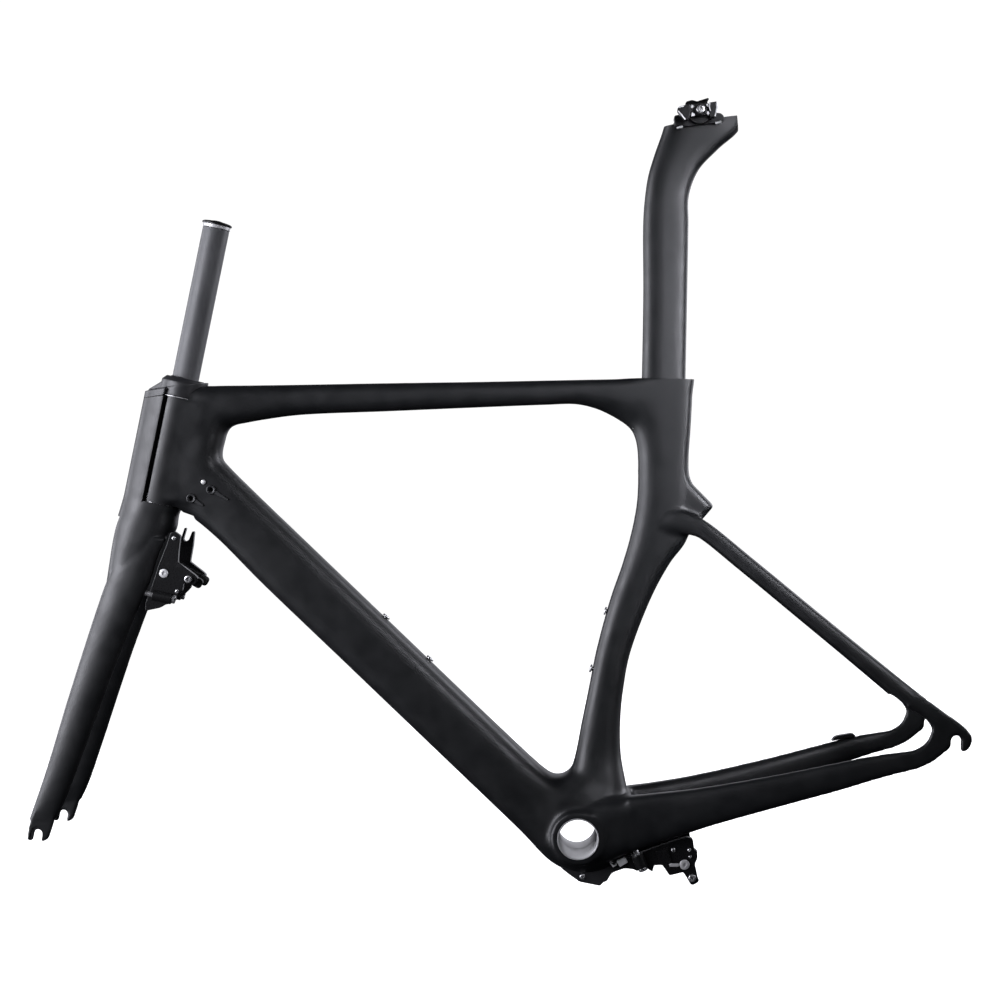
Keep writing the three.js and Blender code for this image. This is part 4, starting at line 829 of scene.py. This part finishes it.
# -------- fork
CROWN = [
    (*steer(-NOSE_REACH, HEAD_BOTTOM + 10), *steer(24, HEAD_BOTTOM + 10), 0, 25.4, 2, 2.6),
    (*steer(-NOSE_REACH, HEAD_BOTTOM + 1), *steer(24, HEAD_BOTTOM + 1), 0, 25.6, 2, 2.6),
    (-452, 400, -391, 385, 0, 26.5, 2.1, 2.6), (-459, 382, -395, 371, 0, 28.5, 2.5, 2.6),
    (-464.5, 362, -403, 359, 0, 30.5, 2.7, 2.6), (-469, 343, -414, 341, 0, 31.8, 2.8, 2.6),
    (-474, 322, -424, 320, 0, 33.5, 3.0, 2.6), (-479, 305, -431, 304, 0, 34.5, 3.0, 2.6),
]
BLADE = [
    (-446, 366, -402, 362, -21, 8, 2.2), (-458, 345, -413, 343, -23.5, 8.4, 2.2),
    (-472, 320, -423.5, 318, -26.8, 8.6, 2.1), (-484, 294, -434.6, 298, -29.6, 8.6, 2.0),
    (-503, 250, -461, 248, -34.6, 8.4, 2.0), (-524, 200, -484.5, 200, -40.4, 8, 2.0),
    (-550.5, 135, -514.5, 137, -47.4, 7, 2.0), (-566, 100, -534, 98, -51.6, 5.6, 2.3),
    (-573.8, 83, -545, 80.5, -53.5, 4, 2.8),
]
NOSE_TOP = ((-16, 368.4), (-NOSE_REACH - 2, 360.4))


def nose_outline(rear, steps=16):
    """A rounded front, from one side's rear edge round to the other's."""
    corners = [np.array(p, dtype=float) for p in (
        (NOSE_REAR, -NOSE_HALF_WIDTH), (-22, -22.8), (-NOSE_REACH, -16), (-NOSE_REACH, 0),
    )]
    side = []
    for step in range(steps + 1):
        t = step / steps
        weights = ((1 - t) ** 3, 3 * t * (1 - t) ** 2, 3 * t * t * (1 - t), t**3)
        side.append(sum(weight * corner for weight, corner in zip(weights, corners)))
    front = [tuple(p) for p in side] + [(p[0], -p[1]) for p in reversed(side[:-1])]
    return [(rear, -NOSE_HALF_WIDTH), *front, (rear, NOSE_HALF_WIDTH)]


def fork_dropout():
    slope, drop = FORK_SLOT_DOWN

    def at(across, down):
        return moved(moved(FORK_SLOT_AXLE, (-drop, slope), across), FORK_SLOT_DOWN, down)

    outline = [at(-7, -24), at(-10.4, -11.5)]
    outline += curve(outline[-1], at(-11.4, -2), at(-10.2, 7.2))
    outline += curve(outline[-1], at(-9.6, 11), at(-4.6, 8.6))
    outline += [at(-4.6 * math.cos(a), -4.6 * math.sin(a)) for a in np.linspace(0, math.pi, 14)]
    outline += [at(4.6, 7.2)]
    outline += curve(outline[-1], at(9.5, 7.2), at(11.6, 2.2))
    outline += [at(13.4, -12.5), at(14, -22)]
    return slab(outline, -FRONT_HUB_HALF - DROPOUT_THICKNESS, -FRONT_HUB_HALF)


def front_pivot(behind, side=-1):
    x, z = steer(behind, FRONT_PIVOT_STATION)
    return x, side * FRONT_PIVOT_Y, z


def above_line(points, rise):
    """A tool over a straight line in the middle plane, its ends given as behind and station."""
    (rear_b, rear_s), (front_b, front_s) = points
    slope = (rear_s - front_s) / (rear_b - front_b)
    behinds = (rear_b + 40, front_b - 30)
    corners = [steer(b, rear_s + (b - rear_b) * slope + rise) for b in behinds]
    corners += [steer(b, 430) for b in reversed(behinds)]
    return slab(corners, -70, 70)


def fork_shell():
    blade = loft(BLADE, 44, 8)
    nose = slab(nose_outline(-4), HEAD_BOTTOM, HEAD_TOP + 2, 0, STEERING)
    dropout = fork_dropout()
    parts = [loft(CROWN, 64, 8), nose, blade, mirrored(blade), dropout, mirrored(dropout)]
    shell = melt(gather(parts), FORK_VOXEL, 5)
    top = HEAD_BOTTOM - 0.5
    over_crown = on_axis([(0, top), (28.2, top), (31.2, 248.8), (70, 247.5), (70, 420), (0, 420)])
    cut(over_crown, block(-120, NOSE_REAR, 200, 440))
    x, z = FRONT_AXLE
    wheel = rod((x, -TYRE_HALF_GAP, z), (x, TYRE_HALF_GAP, z), TYRE_CLEARANCE_FRONT, 240)
    tools = [
        over_crown, axis_cylinder(NOSE_INNER_RADIUS, top, 430), above_line(NOSE_TOP, -0.9), wheel,
        axis_cylinder(STEERER_RADIUS + GAP, 200, 300),
        axis_cylinder(23.4, HEAD_BOTTOM - 2.2, HEAD_BOTTOM + 8),
        *[rod(front_pivot(-6, side), front_pivot(60, side), PIVOT_HOLE) for side in (-1, 1)],
        dropout_slot(FORK_SLOT_AXLE, 4.6, FORK_SLOT_DOWN, 9), lip_recess(-1), lip_recess(1),
    ]
    return cut(shell, *tools)


piece(
    "fork_shell", fork_shell(), "fork", CARBON, "fork", "fork_dropout_left", "fork_dropout_right",
    crease=42, skin=True,
)

# Rings round the steering axis: finish, replaced nodes and the profile, which closes on its first point.
BORE = STEERER_RADIUS - 3
PLUG, FLANGE = BORE - GAP, STEERER_RADIUS + 0.5
STEERED_RINGS = {
    "steerer_tube": (RAW_CARBON, ["steerer"], [
        (BORE, 246), (STEERER_RADIUS, 246), (STEERER_RADIUS, STEERER_TOP - 0.4),
        (STEERER_RADIUS - 0.4, STEERER_TOP), (BORE + 0.3, STEERER_TOP), (BORE, STEERER_TOP - 0.3),
    ]),
    "crown_race_turned": (STEEL, ["crown_race"], [
        (15.8, 252.4), (22.2, 252.4), (22.4, 252.6), (22.4, 253.8), (17.4, 254.6), (17.4, 257.8),
        (17.2, 258), (15.8, 258),
    ]),
    "compression_ring_turned": (ALLOY, ["compression_ring"], [
        (14.6, 364), (14.9, 364), (15, 364.2), (15, 368.3), (19.3, 368.3), (19.5, 368.5), (19.5, 369.1),
        (19.3, 369.3), (14.6, 369.3),
    ]),
    "cover_shim": (BRIGHT, [], [(20.2, 369.08), (25.6, 369.08), (25.6, 369.5), (20.2, 369.5)]),
    "expander_turned": (ALLOY, ["expander_plug"], [
        (3.4, 499), (PLUG - 1.5, 499), (PLUG, 506), (PLUG, 530), (PLUG - 0.6, 531), (PLUG - 0.6, 533),
        (PLUG, 534), (PLUG, 554.3), (FLANGE - 0.3, 554.3), (FLANGE, 554.6), (FLANGE, 557.6),
        (FLANGE - 0.4, 558), (3.4, 558),
    ]),
    "top_cap_domed": (CLAMP_BLACK, ["top_cap"], [
        (3.4, 558.3), (15.8, 558.3), (16, 558.6), (16.2, 559.3), (15.6, 560.2), (14, 560.9), (10.5, 561.5),
        (7, 561.7), (7, 559.9), (3.4, 559.9),
    ]),
}
for name, (finish, nodes, profile) in STEERED_RINGS.items():
    piece(name, on_axis([*profile, profile[0]]), "fork", finish, *nodes)
x, z = steer(0, STEERER_TOP + 6.2)
screw(
    "top_cap_bolt_domed", "fork", "top_cap_bolt", (x, 0, z), (COS, 0, SIN), 6.2, 2.0, 3, 36.2, 2.5, 0.4,
    finish=CLAMP_STEEL,
)

front_pivot_bolt = socket_screw(
    front_pivot(38.5), (SIN, 0, -COS), PIVOT_HEAD_RADIUS, 3.2, PIVOT_BOLT_RADIUS, 43, 2,
)
pair("front_pivot_bolt", front_pivot_bolt, ("fork", "fork"), STEEL, "front_brake_pivot")


# -------- headset cover
COVER_SCREW_WAY = (-0.55, 0, 0.835)


def cover_screw_at(distance):
    """A point along the slanting cover screw."""
    x, z = steer(-30, 376)
    return moved((x, 0, z), COVER_SCREW_WAY, distance)


def headset_cover():
    low = HEAD_TOP + 0.6
    brim = slab(nose_outline(NOSE_REAR + 1), 357, 392, 0, STEERING)
    round_part = axis_cylinder(COVER_RADIUS, low, 392)
    cone = on_axis([(0, 376), (24.5, 376), (24.5, 385.5), (20, 390.2), (0, 390.2)])
    flat = cut(join(brim, round_part), above_line(((40, 396.2), (-60, 360.9)), 0))
    ridge = slab(
        [(-36, -4), (-12, -17), (0, -17), (0, 17), (-12, 17), (-36, 4)], 368, 391, 0, STEERING,
    )
    cut(ridge, above_line(((-13, 390.4), (-70, 343.2)), 0))
    body = melt(gather([flat, cone, ridge]), COVER_VOXEL, 5)
    under = [steer(b, s) for b, s in ((-15, 368.9), (-60, 353.6), (-60, 330), (-15, 330))]
    return cut(
        body, slab(under, -70, 70), block(NOSE_REAR - 1.1, 60, 330, low), axis_cylinder(27.2, 330, low),
        axis_cylinder(STEERER_RADIUS + GAP, 330, 400), rod(cover_screw_at(-3.6), cover_screw_at(9.4), 2.9),
        rod(cover_screw_at(-11), cover_screw_at(2), 1.6), above_line(((0, 391.7), (-1, 391.7)), 0),
    )


piece("headset_cover_moulded", headset_cover(), "fork", PLASTIC, "headset_cover", crease=42)
seat = cover_screw_at(-3.3)
screw("cover_screw_domed", "fork", "cover_screw", seat, COVER_SCREW_WAY, 2.5, 2.4, 1.3, 4.7, 1.1, 0.3)


# -------- brakes
def bar(centre, heading, length, height, low, high, edge):
    """A straight bar with rounded corners, lying along a heading in the x, z plane."""
    way, up = (math.cos(heading), math.sin(heading)), (-math.sin(heading), math.cos(heading))
    signs = ((-1, -1), (1, -1), (1, 1), (-1, 1))
    corners = [moved(moved(centre, way, a * length / 2), up, b * height / 2) for a, b in signs]
    return slab(rounded(corners, min(height * 0.4, 4.0)), low, high, edge)


def barrel(start, end, radius, edge=0.8):
    """A rounded-over cylinder between two points."""
    start, end = Vector(start), Vector(end)
    length = (end - start).length
    lower = [(0, 0), (radius - edge, 0), (radius - edge * 0.3, edge * 0.3), (radius, edge)]
    upper = [(r, length - height) for r, height in reversed(lower)]
    return turned(lower + upper, along(start, end - start), 64)


FRONT_ARM_TAIL = [
    (17, 190), (14.5, 168), (11.5, 148), (13, 139.5), (27.7, 146), (41.6, 158.7), (47.2, 168.6), (47, 177.5),
    (58.5, 177.3), (61, 181), (60.5, 186), (57, 188.2),
]
PINCH_TOP = [(36.5, 197.8), (34.8, 210.6), (33.7, 226), (27, 229), (22.5, 227), (21, 214)]
FORKED_TOP = [
    (41, 196), (40.4, 214.5), (38.9, 229), (36.4, 229), (34.6, 219), (31.3, 216.4), (28.6, 218.5),
    (29.6, 231), (27.4, 231), (25.5, 216), (24, 200),
]
REAR_ARM = [
    (48, -28.5), (60, -25.5), (80, -20.5), (100, -15.5), (115, -12.5), (121, -14.5), (121.6, -26),
    (124.5, -27.5), (124, -36), (120.6, -42), (122.6, -60.9), (114.5, -63.8), (107.4, -49.5), (92.5, -51.5),
    (86, -39.5), (77.4, -39), (74.9, -45.8), (69, -41), (64, -42.5), (58.3, -43.2), (50, -37),
]
FRONT_PAD_BOLT = steer(51.4, 182.5)
REAR_PAD_BOLT = (116, -56.2)


def brake_arm(outline, edge, pivot, boss, boss_radius, through, head, pad_bolt):
    """An arm with a boss round its pivot bolt. Boss, hole and head recess are spans on the pivot's line."""
    arm = slab(outline, -ARM_OUTER, -ARM_INNER, edge)
    join(arm, barrel(*map(pivot, boss), boss_radius))
    x, z = pad_bolt
    return cut(
        arm, rod(*map(pivot, through), PIVOT_HOLE), rod(*map(pivot, head), PIVOT_HEAD_RADIUS + GAP),
        rod((x, -40, z), (x, 0, z), 2.5),
    )


def front_arm(top):
    outline = rounded([steer(behind, station) for behind, station in FRONT_ARM_TAIL + top], 1.4)
    return brake_arm(outline, 0.8, front_pivot, (17, 38), 6.2, (0, 60), (38.2, 60), FRONT_PAD_BOLT)


def rear_arm():
    outline = rounded(REAR_ARM, 1.6)
    return brake_arm(outline, 0.9, rear_pivot, (-9, 6), 6.4, (-30, 40), (-30, -9.1), REAR_PAD_BOLT)


def pad_set(end, bolt, heading, shift):
    bodies = (f"{end}_brake_left", f"{end}_brake_right")
    x, z = bolt
    centre = (x + math.cos(heading) * shift, z + math.sin(heading) * shift)
    rubber_outer = -PAD_INNER - 4
    rubber = bar(centre, heading, 36, 9, rubber_outer, -PAD_INNER, 0.8)
    grooves = []
    for distance in (-9, 0, 9):
        middle = (centre[0] + math.cos(heading) * distance, centre[1] + math.sin(heading) * distance)
        grooves.append(bar(middle, heading, 1.2, 20, -PAD_INNER - 1.2, -PAD_INNER + 2, 0))
    pair(f"{end}_pad_rubber", cut(rubber, *grooves), bodies, RUBBER, f"{end}_brake_pad")
    holder = bar(centre, heading, 39, 10.5, -ARM_INNER + GAP, rubber_outer - GAP, 0.8)
    cut(holder, rod((x, -ARM_INNER - 2, z), (x, rubber_outer - 1.5, z), 2.5))
    pair(f"{end}_pad_holder_bevelled", holder, bodies, BRAKE_BLACK, f"{end}_pad_holder")
    pad_screw = socket_screw((x, -ARM_OUTER - GAP, z), (0, -1, 0), 4, 2.9, 2.2, 11.5, 1.9, 0.2)
    pair(f"{end}_pad_screw", pad_screw, bodies, STEEL, f"{end}_pad_bolt")


def arm_screw(name, at, radius, key, side=-1):
    """A silver screw sunk a little into an arm's outer face."""
    place = (at[0], side * (ARM_OUTER - 0.8), at[1])
    body = f"{name.split('_')[0]}_brake_{'left' if side < 0 else 'right'}"
    finish = BRIGHT if radius > 4.5 else STEEL
    screw(name, body, None, place, (0, side, 0), radius, 1.9, radius * 0.5, 4, key, 0.25, finish=finish)


# Screws in the left arms: place, head radius and socket size. A fourth number of 1 means the right arm.
FRONT_LINK, REAR_MAIN = (-408, 325), (109.6, -41.3)
FRONT_SCREWS = {
    "front_link_screw": (FRONT_LINK, 4.8, 2.0), "front_pinch_screw": ((-393, 361), 2.4, 1.0),
    "front_spring_screw_lower": ((-408, 299.5), 2.2, 0.9),
    "front_spring_screw_upper": ((-396, 304.5), 2.2, 0.9),
    "front_link_screw_far": (FRONT_LINK, 4.4, 2.0, 1),
}
REAR_SCREWS = {
    "rear_main_screw": (REAR_MAIN, 5.4, 2.0), "rear_root_screw": ((58.5, -32.5), 3.0, 1.3),
    "rear_upper_screw": ((99.5, -24.5), 2.4, 1.0), "rear_middle_screw": ((85.7, -32.1), 2.2, 1.0),
    "rear_end_screw": ((116.2, -26.3), 2.0, 0.9), "rear_end_screw_lower": ((116.4, -33.6), 1.8, 0.8),
    "rear_main_screw_far": (REAR_MAIN, 4.6, 2.0, 1),
}

piece(
    "front_arm_left_forged", front_arm(PINCH_TOP), "front_brake_left", BRAKE_BLACK, "front_brake_arm_left",
)
piece(
    "front_arm_right_forged", flip(front_arm(FORKED_TOP)), "front_brake_right", BRAKE_BLACK,
    "front_brake_arm_right",
)
pad_set("front", FRONT_PAD_BOLT, -0.63, -5)
for name, values in FRONT_SCREWS.items():
    arm_screw(name, *values)
pair("rear_arm_forged", rear_arm(), ("rear_brake_left", "rear_brake_right"), BRAKE_BLACK, "rear_brake_arm")
pad_set("rear", REAR_PAD_BOLT, -1.159, -10)
for name, values in REAR_SCREWS.items():
    arm_screw(name, *values)

# Small plates on the left rear arm: finish, outline, corner radius, outer face, inner face and edge.
REAR_PLATES = {
    "rear_cable_hanger": (
        BRAKE_BLACK, [(31, -31.2), (55, -23.8), (57, -42), (50, -40), (40, -39), (34, -37)], 1.6,
        -27.5, -22.5, 0.7,
    ),
    "rear_cable_clamp": (
        BRIGHT_ALLOY, [(38, -29.6), (47.5, -26.6), (50, -32.4), (41, -36.6)], 0.8, -31.4, -27.2, 0.6,
    ),
    "rear_cable_bracket": (
        BRIGHT_ALLOY, [(30.5, -30.2), (33, -29.8), (34.6, -33.8), (37.6, -32.6), (38, -34.4), (33.6, -36.6)],
        0.6, -30.4, -27.2, 0.5,
    ),
    "rear_link_plate": (
        BRAKE_BLACK, [(80.5, -24), (93, -20.8), (96.4, -36.8), (84, -38.6)], 1.2, -ARM_OUTER - 1.4,
        -ARM_OUTER + 0.6, 0.6,
    ),
}
for name, (finish, outline, radius, outer, inner, edge) in REAR_PLATES.items():
    piece(name, slab(rounded(outline, radius), outer, inner, edge), "rear_brake_left", finish)
slot_bar = bar((98.5, -40.6), -0.1, 10, 3.4, -ARM_OUTER - 1.2, -ARM_OUTER + 0.6, 0.5)
piece("rear_slot_insert", slot_bar, "rear_brake_left", BRIGHT_ALLOY)

# -------- seatpost
POST_HEAD = [
    post_section(POST_BOTTOM, 0), post_section(560, 0), (138.5, 640, 186.5, 636, 0, 12, 2.2, 4.0),
    (142.5, 664, 190, 665, 0, 12, 2.2, 3.6), (149, 690, 203, 691, 0, 12, 2.3, 3.4),
    (158, 712, 226, 711, 0, 12.5, 2.5, 3.4), (168, 733, 251, 730, 0, 13.5, 2.8, 3.4),
    (176, 752, 256, 750, 0, 14.5, 3.2, 3.6),
]
POST_TAPER = 0.22
CLAMP_X, CLAMP_Z = CLAMP_PIVOT


def clamp_rod(radius, half):
    return rod((CLAMP_X, -half, CLAMP_Z), (CLAMP_X, half, CLAMP_Z), radius, ROUND)


def seatpost():
    post = loft(POST_HEAD, 88, 16, taper=POST_TAPER)
    above = slab([(150, 740.0), (270, 743.8), (270, 800), (150, 800)], -40, 40)
    rear = slab([(249, 700), (290, 700), (290, 760), (249, 760)], -40, 40)
    return cut(post, above, rear, clamp_rod(13.5, 40))


def scale_marks():
    """Height marks near the post's rear edge: thin strips on its surface, every other one longer."""
    vertices, faces = [], []
    for index in range(21):
        z = 494 + index * 5
        strip = []
        for height, depth in ((z - 0.35, 0.12), (z + 0.35, 0.12), (z + 0.35, -0.3), (z - 0.35, -0.3)):
            post = np.array(post_section(height, 0))
            angles = np.linspace(0.12 if index % 2 else 0.20, 0.02, 7)
            points = [section(post[:2], post[2:4], post[4:], -angle, POST_TAPER) for angle in angles]
            strip.append([(x + depth * 0.3, y - depth, z) for x, y, z in points])
        first, count = len(vertices), len(angles) * 4
        vertices += [corners[k] for k in range(len(angles)) for corners in strip]
        caps = [(0, 1, 2, 3), (count - 4, count - 3, count - 2, count - 1)]
        faces += [tuple(first + v for v in face) for face in ring_faces(len(angles), 4, False) + caps]
    return new_object(vertices, faces)


piece("seatpost_blade", seatpost(), "seatpost", CARBON, "seatpost", crease=35)
piece("post_scale_marks", scale_marks(), "seatpost", PRINT)

# -------- saddle clamp
base_outline = rounded([
    (181.5, 737.5), (181.5, 743.5), (186, 746.6), (195, 747.6), (223, 747.8), (231, 746.4), (234, 743.5),
    (234, 737.6), (222, 736.2), (195, 736),
], 1.5)
base = slab(base_outline, -16.5, 16.5, 0.8)
inside = loft([(*s[:5], s[5] + GAP, *s[6:]) for s in POST_HEAD], 56, 8)
cut(inside, slab([(150, 741.9), (270, 745.7), (270, 800), (150, 800)], -40, 40))
piece("clamp_base_bevelled", cut(base, inside, clamp_rod(13.5, 40)), "seatpost", CLAMP_BLACK, "clamp_base")


def rail_rod(side):
    y, z = side * RAIL_HALF_SPACING, CLAMP_Z + 7.5
    return rod((CLAMP_X - 60, y, z), (CLAMP_X + 60, y, z), RAIL_RADIUS + 0.1)


def shifted(points):
    return [(CLAMP_X + a, CLAMP_Z + b) for a, b in points]


def clamp_round(radius, count, wave=0.0):
    """An outline round the clamp's bolt, with nine shallow waves if asked."""
    angles = np.linspace(0, 2 * math.pi, count + 1)[:-1]
    reaches = [radius * (1 + wave * math.cos(9 * a)) for a in angles]
    return shifted([(reach * math.cos(a), reach * math.sin(a)) for reach, a in zip(reaches, angles)])


def cradle():
    half_width = RAIL_HALF_SPACING - GAP / 2
    body = barrel((CLAMP_X, -half_width, CLAMP_Z), (CLAMP_X, half_width, CLAMP_Z), 13.2, 0.6)
    cut(body, slab(shifted([(-30, 4), (30, 4), (30, 30), (-30, 30)]), -40, 40))
    wings = rounded(shifted([
        (-13, 2), (-12, 6), (-14.5, 9.5), (-13, 11.5), (-7, 12.5), (-2, 10.5), (10, 12.8), (11, 11.6),
        (8.5, 9), (12, 4), (13, 2), (0, 0),
    ]), 1.2)
    join(body, slab(wings, -half_width, half_width, 0.6))
    return cut(body, clamp_rod(3.3, 40), rail_rod(-1), rail_rod(1))


LEFT_LOBE = [(-24.5, 1), (-23, 5.8), (-11, 7), (-9.6, 1), (-11.2, -4.4), (-14, -10), (-18, -9.4)]
RIGHT_LOBE = [(9.2, 6.4), (18.2, 6.8), (18.4, 0.4), (14.8, -10), (10.4, -9.6), (8.2, -3), (7.8, 2)]
JAW_BAR = [(-16, -3.4), (-5, -6.4), (6, -6.4), (14, -3), (13, 5.6), (4, 3.8), (-5, 3.8), (-15, 5.8)]


def jaw():
    """Two thick lobes that hold the rail, joined by a thinner bar behind the bolt."""
    inner_face = RAIL_HALF_SPACING + GAP / 2
    body = slab(rounded(shifted(JAW_BAR), 1.5), -JAW_OUTER + 3, -inner_face, 0.8)
    join(
        body, slab(rounded(shifted(LEFT_LOBE), 1.6), -JAW_OUTER, -inner_face, 1.2),
        slab(rounded(shifted(RIGHT_LOBE), 1.6), -JAW_OUTER, -inner_face, 1.2),
        barrel((CLAMP_X, -JAW_OUTER, CLAMP_Z), (CLAMP_X, -inner_face, CLAMP_Z), 6.4, 0.7),
    )
    return cut(body, clamp_rod(3.3, 40), rail_rod(-1))


piece("clamp_cradle_bevelled", cradle(), "saddle_clamp", CLAMP_BLACK, "clamp_cradle")
pair("clamp_jaw_bevelled", jaw(), ("saddle_clamp", "saddle_clamp"), CLAMP_BLACK, "clamp_jaw")
FACETS = {
    "clamp_facet_front": [(-24.2, 1.4), (-22.6, 1.2), (-16.4, -8.2), (-17.6, -9.2)],
    "clamp_facet_front_upper": [(-23, 5.4), (-22.9, 4.2), (-17, 4.8), (-17.2, 5.8)],
    "clamp_facet_rear": [(17.0, 6.0), (18.0, 6.0), (18.1, 0.4), (14.6, -9.2), (13.6, -8.6), (16.6, 0.6)],
    "clamp_facet_rear_inner": [(8.6, 2.4), (9.8, 5.8), (10.8, 5.8), (9.9, 2.0), (10.6, -2.6), (9.4, -2.8)],
}
# Not tabs: bright spots in the recesses between the lobes and the bolt's boss, painted as small pieces of
# bright metal.
PAINTED_BRIGHT_SPOTS = {
    "clamp_tab_front_lower": [(-9.4, -1.6), (-6.4, -3.4), (-6.0, -5.8), (-10.6, -6.2)],
    "clamp_tab_front_upper": [(-9.2, 2.2), (-6.4, 4.2), (-8.4, 6.6), (-10.2, 4.6)],
    "clamp_tab_rear_lower": [(7.6, -1.8), (5.6, -4.4), (7.4, -6.8), (9.2, -4.0)],
    "clamp_tab_rear_upper": [(6.2, 3.2), (8.2, 2.2), (8.6, 5.2), (6.8, 5.6)],
}
# Both groups are thin bright pieces on the near jaw: silver edge strips, then the painted bright spots.
for group, radius, outer, inner, edge in ((FACETS, 0.4, -0.25, 0.8, 0.2), (PAINTED_BRIGHT_SPOTS, 0.7, 1.2, 3.6, 0.3)):
    for name, points in group.items():
        strip = slab(rounded(shifted(points), radius), -JAW_OUTER + outer, -JAW_OUTER + inner, edge)
        piece(name, strip, "saddle_clamp", BRIGHT)

seat = JAW_OUTER + GAP
cross_bolt = socket_screw((CLAMP_X, -seat, CLAMP_Z), (0, -1, 0), 4.4, 2.8, 3, 2 * seat + 3, 2.2, 0.2)
knurled = cut(slab(clamp_round(5.4, 108, 0.09), -seat - 2.0, -seat, 0.5), clamp_rod(4.2, 40))
nut = slab(clamp_round(5.2, 6), seat, seat + 3.6, 0.5)
piece("clamp_cross_bolt", join(cross_bolt, nut), "saddle_clamp", STEEL, "clamp_bolt")
piece("clamp_bolt_collar", knurled, "saddle_clamp", BRAKE_STEEL)
for name, x, z in (("clamp_pin_front", 186.6, 736), ("clamp_pin_rear", 227.6, 736.5)):
    piece(name, barrel((x - 3.2, -17.2, z - 0.4), (x + 3.2, -17.2, z + 0.4), 1.3, 0.4), "seatpost", BRIGHT)

# -------- stage, in metres
FLOOR_DROP, FLOOR_HALF = 0.12, 30.0
WHITE = 1.05                         # strength of the light that the camera sees
CAMERA_AT = (0.0039727, -2.03207, 0.41637)
CAMERA_YAW, CAMERA_PITCH, CAMERA_ROLL = -0.0240, -0.0258, -0.1068
LENS, SENSOR = 68.17104, 36          # millimetres


def floor():
    lowest = cad_box[0][2] - FLOOR_DROP
    signs = ((-1, -1), (1, -1), (1, 1), (-1, 1))
    mesh = bpy.data.meshes.new("floor")
    mesh.from_pydata([(x * FLOOR_HALF, y * FLOOR_HALF, lowest) for x, y in signs], [], [(0, 1, 2, 3)])
    obj = placed(mesh, "floor")
    look = Look("pale_floor", Roughness=0.9, Emission_Color=(1, 1, 1, 1), Emission_Strength=WHITE)
    look.paint(look.noise(0.7), (0.80,) * 3, (0.82,) * 3)
    mesh.materials.append(look.material)
    obj.visible_glossy = False
    obj.visible_diffuse = False


def surroundings():
    """White where the camera looks past the object, dim grey in its reflections."""
    world = bpy.data.worlds.new("studio")
    world.use_nodes = True
    bpy.context.scene.world = world
    nodes, links = world.node_tree.nodes, world.node_tree.links
    nodes.clear()
    dim, bright = nodes.new("ShaderNodeBackground"), nodes.new("ShaderNodeBackground")
    dim.inputs["Color"].default_value = (0.0058, 0.0062, 0.0076, 1)
    bright.inputs["Color"].default_value = (1, 1, 1, 1)
    bright.inputs["Strength"].default_value = WHITE
    path, mix = nodes.new("ShaderNodeLightPath"), nodes.new("ShaderNodeMixShader")
    output = nodes.new("ShaderNodeOutputWorld")
    links.new(path.outputs["Is Camera Ray"], mix.inputs[0])
    links.new(dim.outputs[0], mix.inputs[1])
    links.new(bright.outputs[0], mix.inputs[2])
    links.new(mix.outputs[0], output.inputs["Surface"])


def softbox(name, position, target, width, height, power, spread=180):
    data = bpy.data.lights.new(name, "AREA")
    data.spread = math.radians(spread)
    data.color = (0.985, 0.99, 1.075)
    data.shape = "RECTANGLE"
    data.size, data.size_y, data.energy = width, height, power
    light = placed(data, name)
    light.location = position
    light.rotation_euler = (Vector(target) - Vector(position)).to_track_quat("-Z", "Y").to_euler()
    light.visible_camera = False


def camera():
    """The photograph's viewing angle: nearly level, square to the bicycle's side."""
    yaw, pitch, roll = CAMERA_YAW, CAMERA_PITCH, CAMERA_ROLL
    forward = Vector((math.sin(yaw) * math.cos(pitch), math.cos(yaw) * math.cos(pitch), math.sin(pitch)))
    level = Vector((math.cos(yaw), -math.sin(yaw), 0))
    upright = level.cross(forward)
    right = level * math.cos(roll) + upright * math.sin(roll)
    up = upright * math.cos(roll) - level * math.sin(roll)
    data = bpy.data.cameras.new("camera")
    data.sensor_width = SENSOR
    data.lens = LENS
    obj = placed(data, "camera")
    rotation = Matrix((right, up, -forward)).transposed().to_4x4()
    obj.matrix_world = Matrix.Translation(CAMERA_AT) @ rotation
    bpy.context.scene.camera = obj


floor()
surroundings()
SOFTBOXES = {
    "left_box": ((-2.4, -0.9, 0.7), (-0.4, 0, 0.4), 1.4, 2.4, 68),
    "far_left_box": ((-2.5, 0.9, 0.6), (-0.4, 0, 0.4), 1.2, 2.4, 34),
    "head_box": ((-1.15, -0.85, 0.85), (-0.46, 0, 0.42), 0.5, 0.5, 1.3, 60),
    "post_box": ((0.75, -1.1, 0.95), (0.16, 0, 0.56), 0.4, 0.5, 0.46, 38),
    "cluster_box": ((0.80, -1.0, 0.60), (0.16, 0, 0.42), 0.3, 0.3, 0.6, 40),
    "right_box": ((2.2, -0.9, 0.9), (0.15, 0, 0.5), 1.2, 2.0, 2),
    "rear_box": ((2.0, 0.8, 1.0), (0.15, 0, 0.5), 1.2, 2.0, 45),
    "back_box": ((0.3, 2.4, 0.7), (-0.1, 0, 0.4), 2.4, 1.6, 10),
}
for name, box_values in SOFTBOXES.items():
    softbox(name, *box_values)
camera()
bpy.context.scene.view_settings.view_transform = "Standard"
bpy.context.view_layer.update()
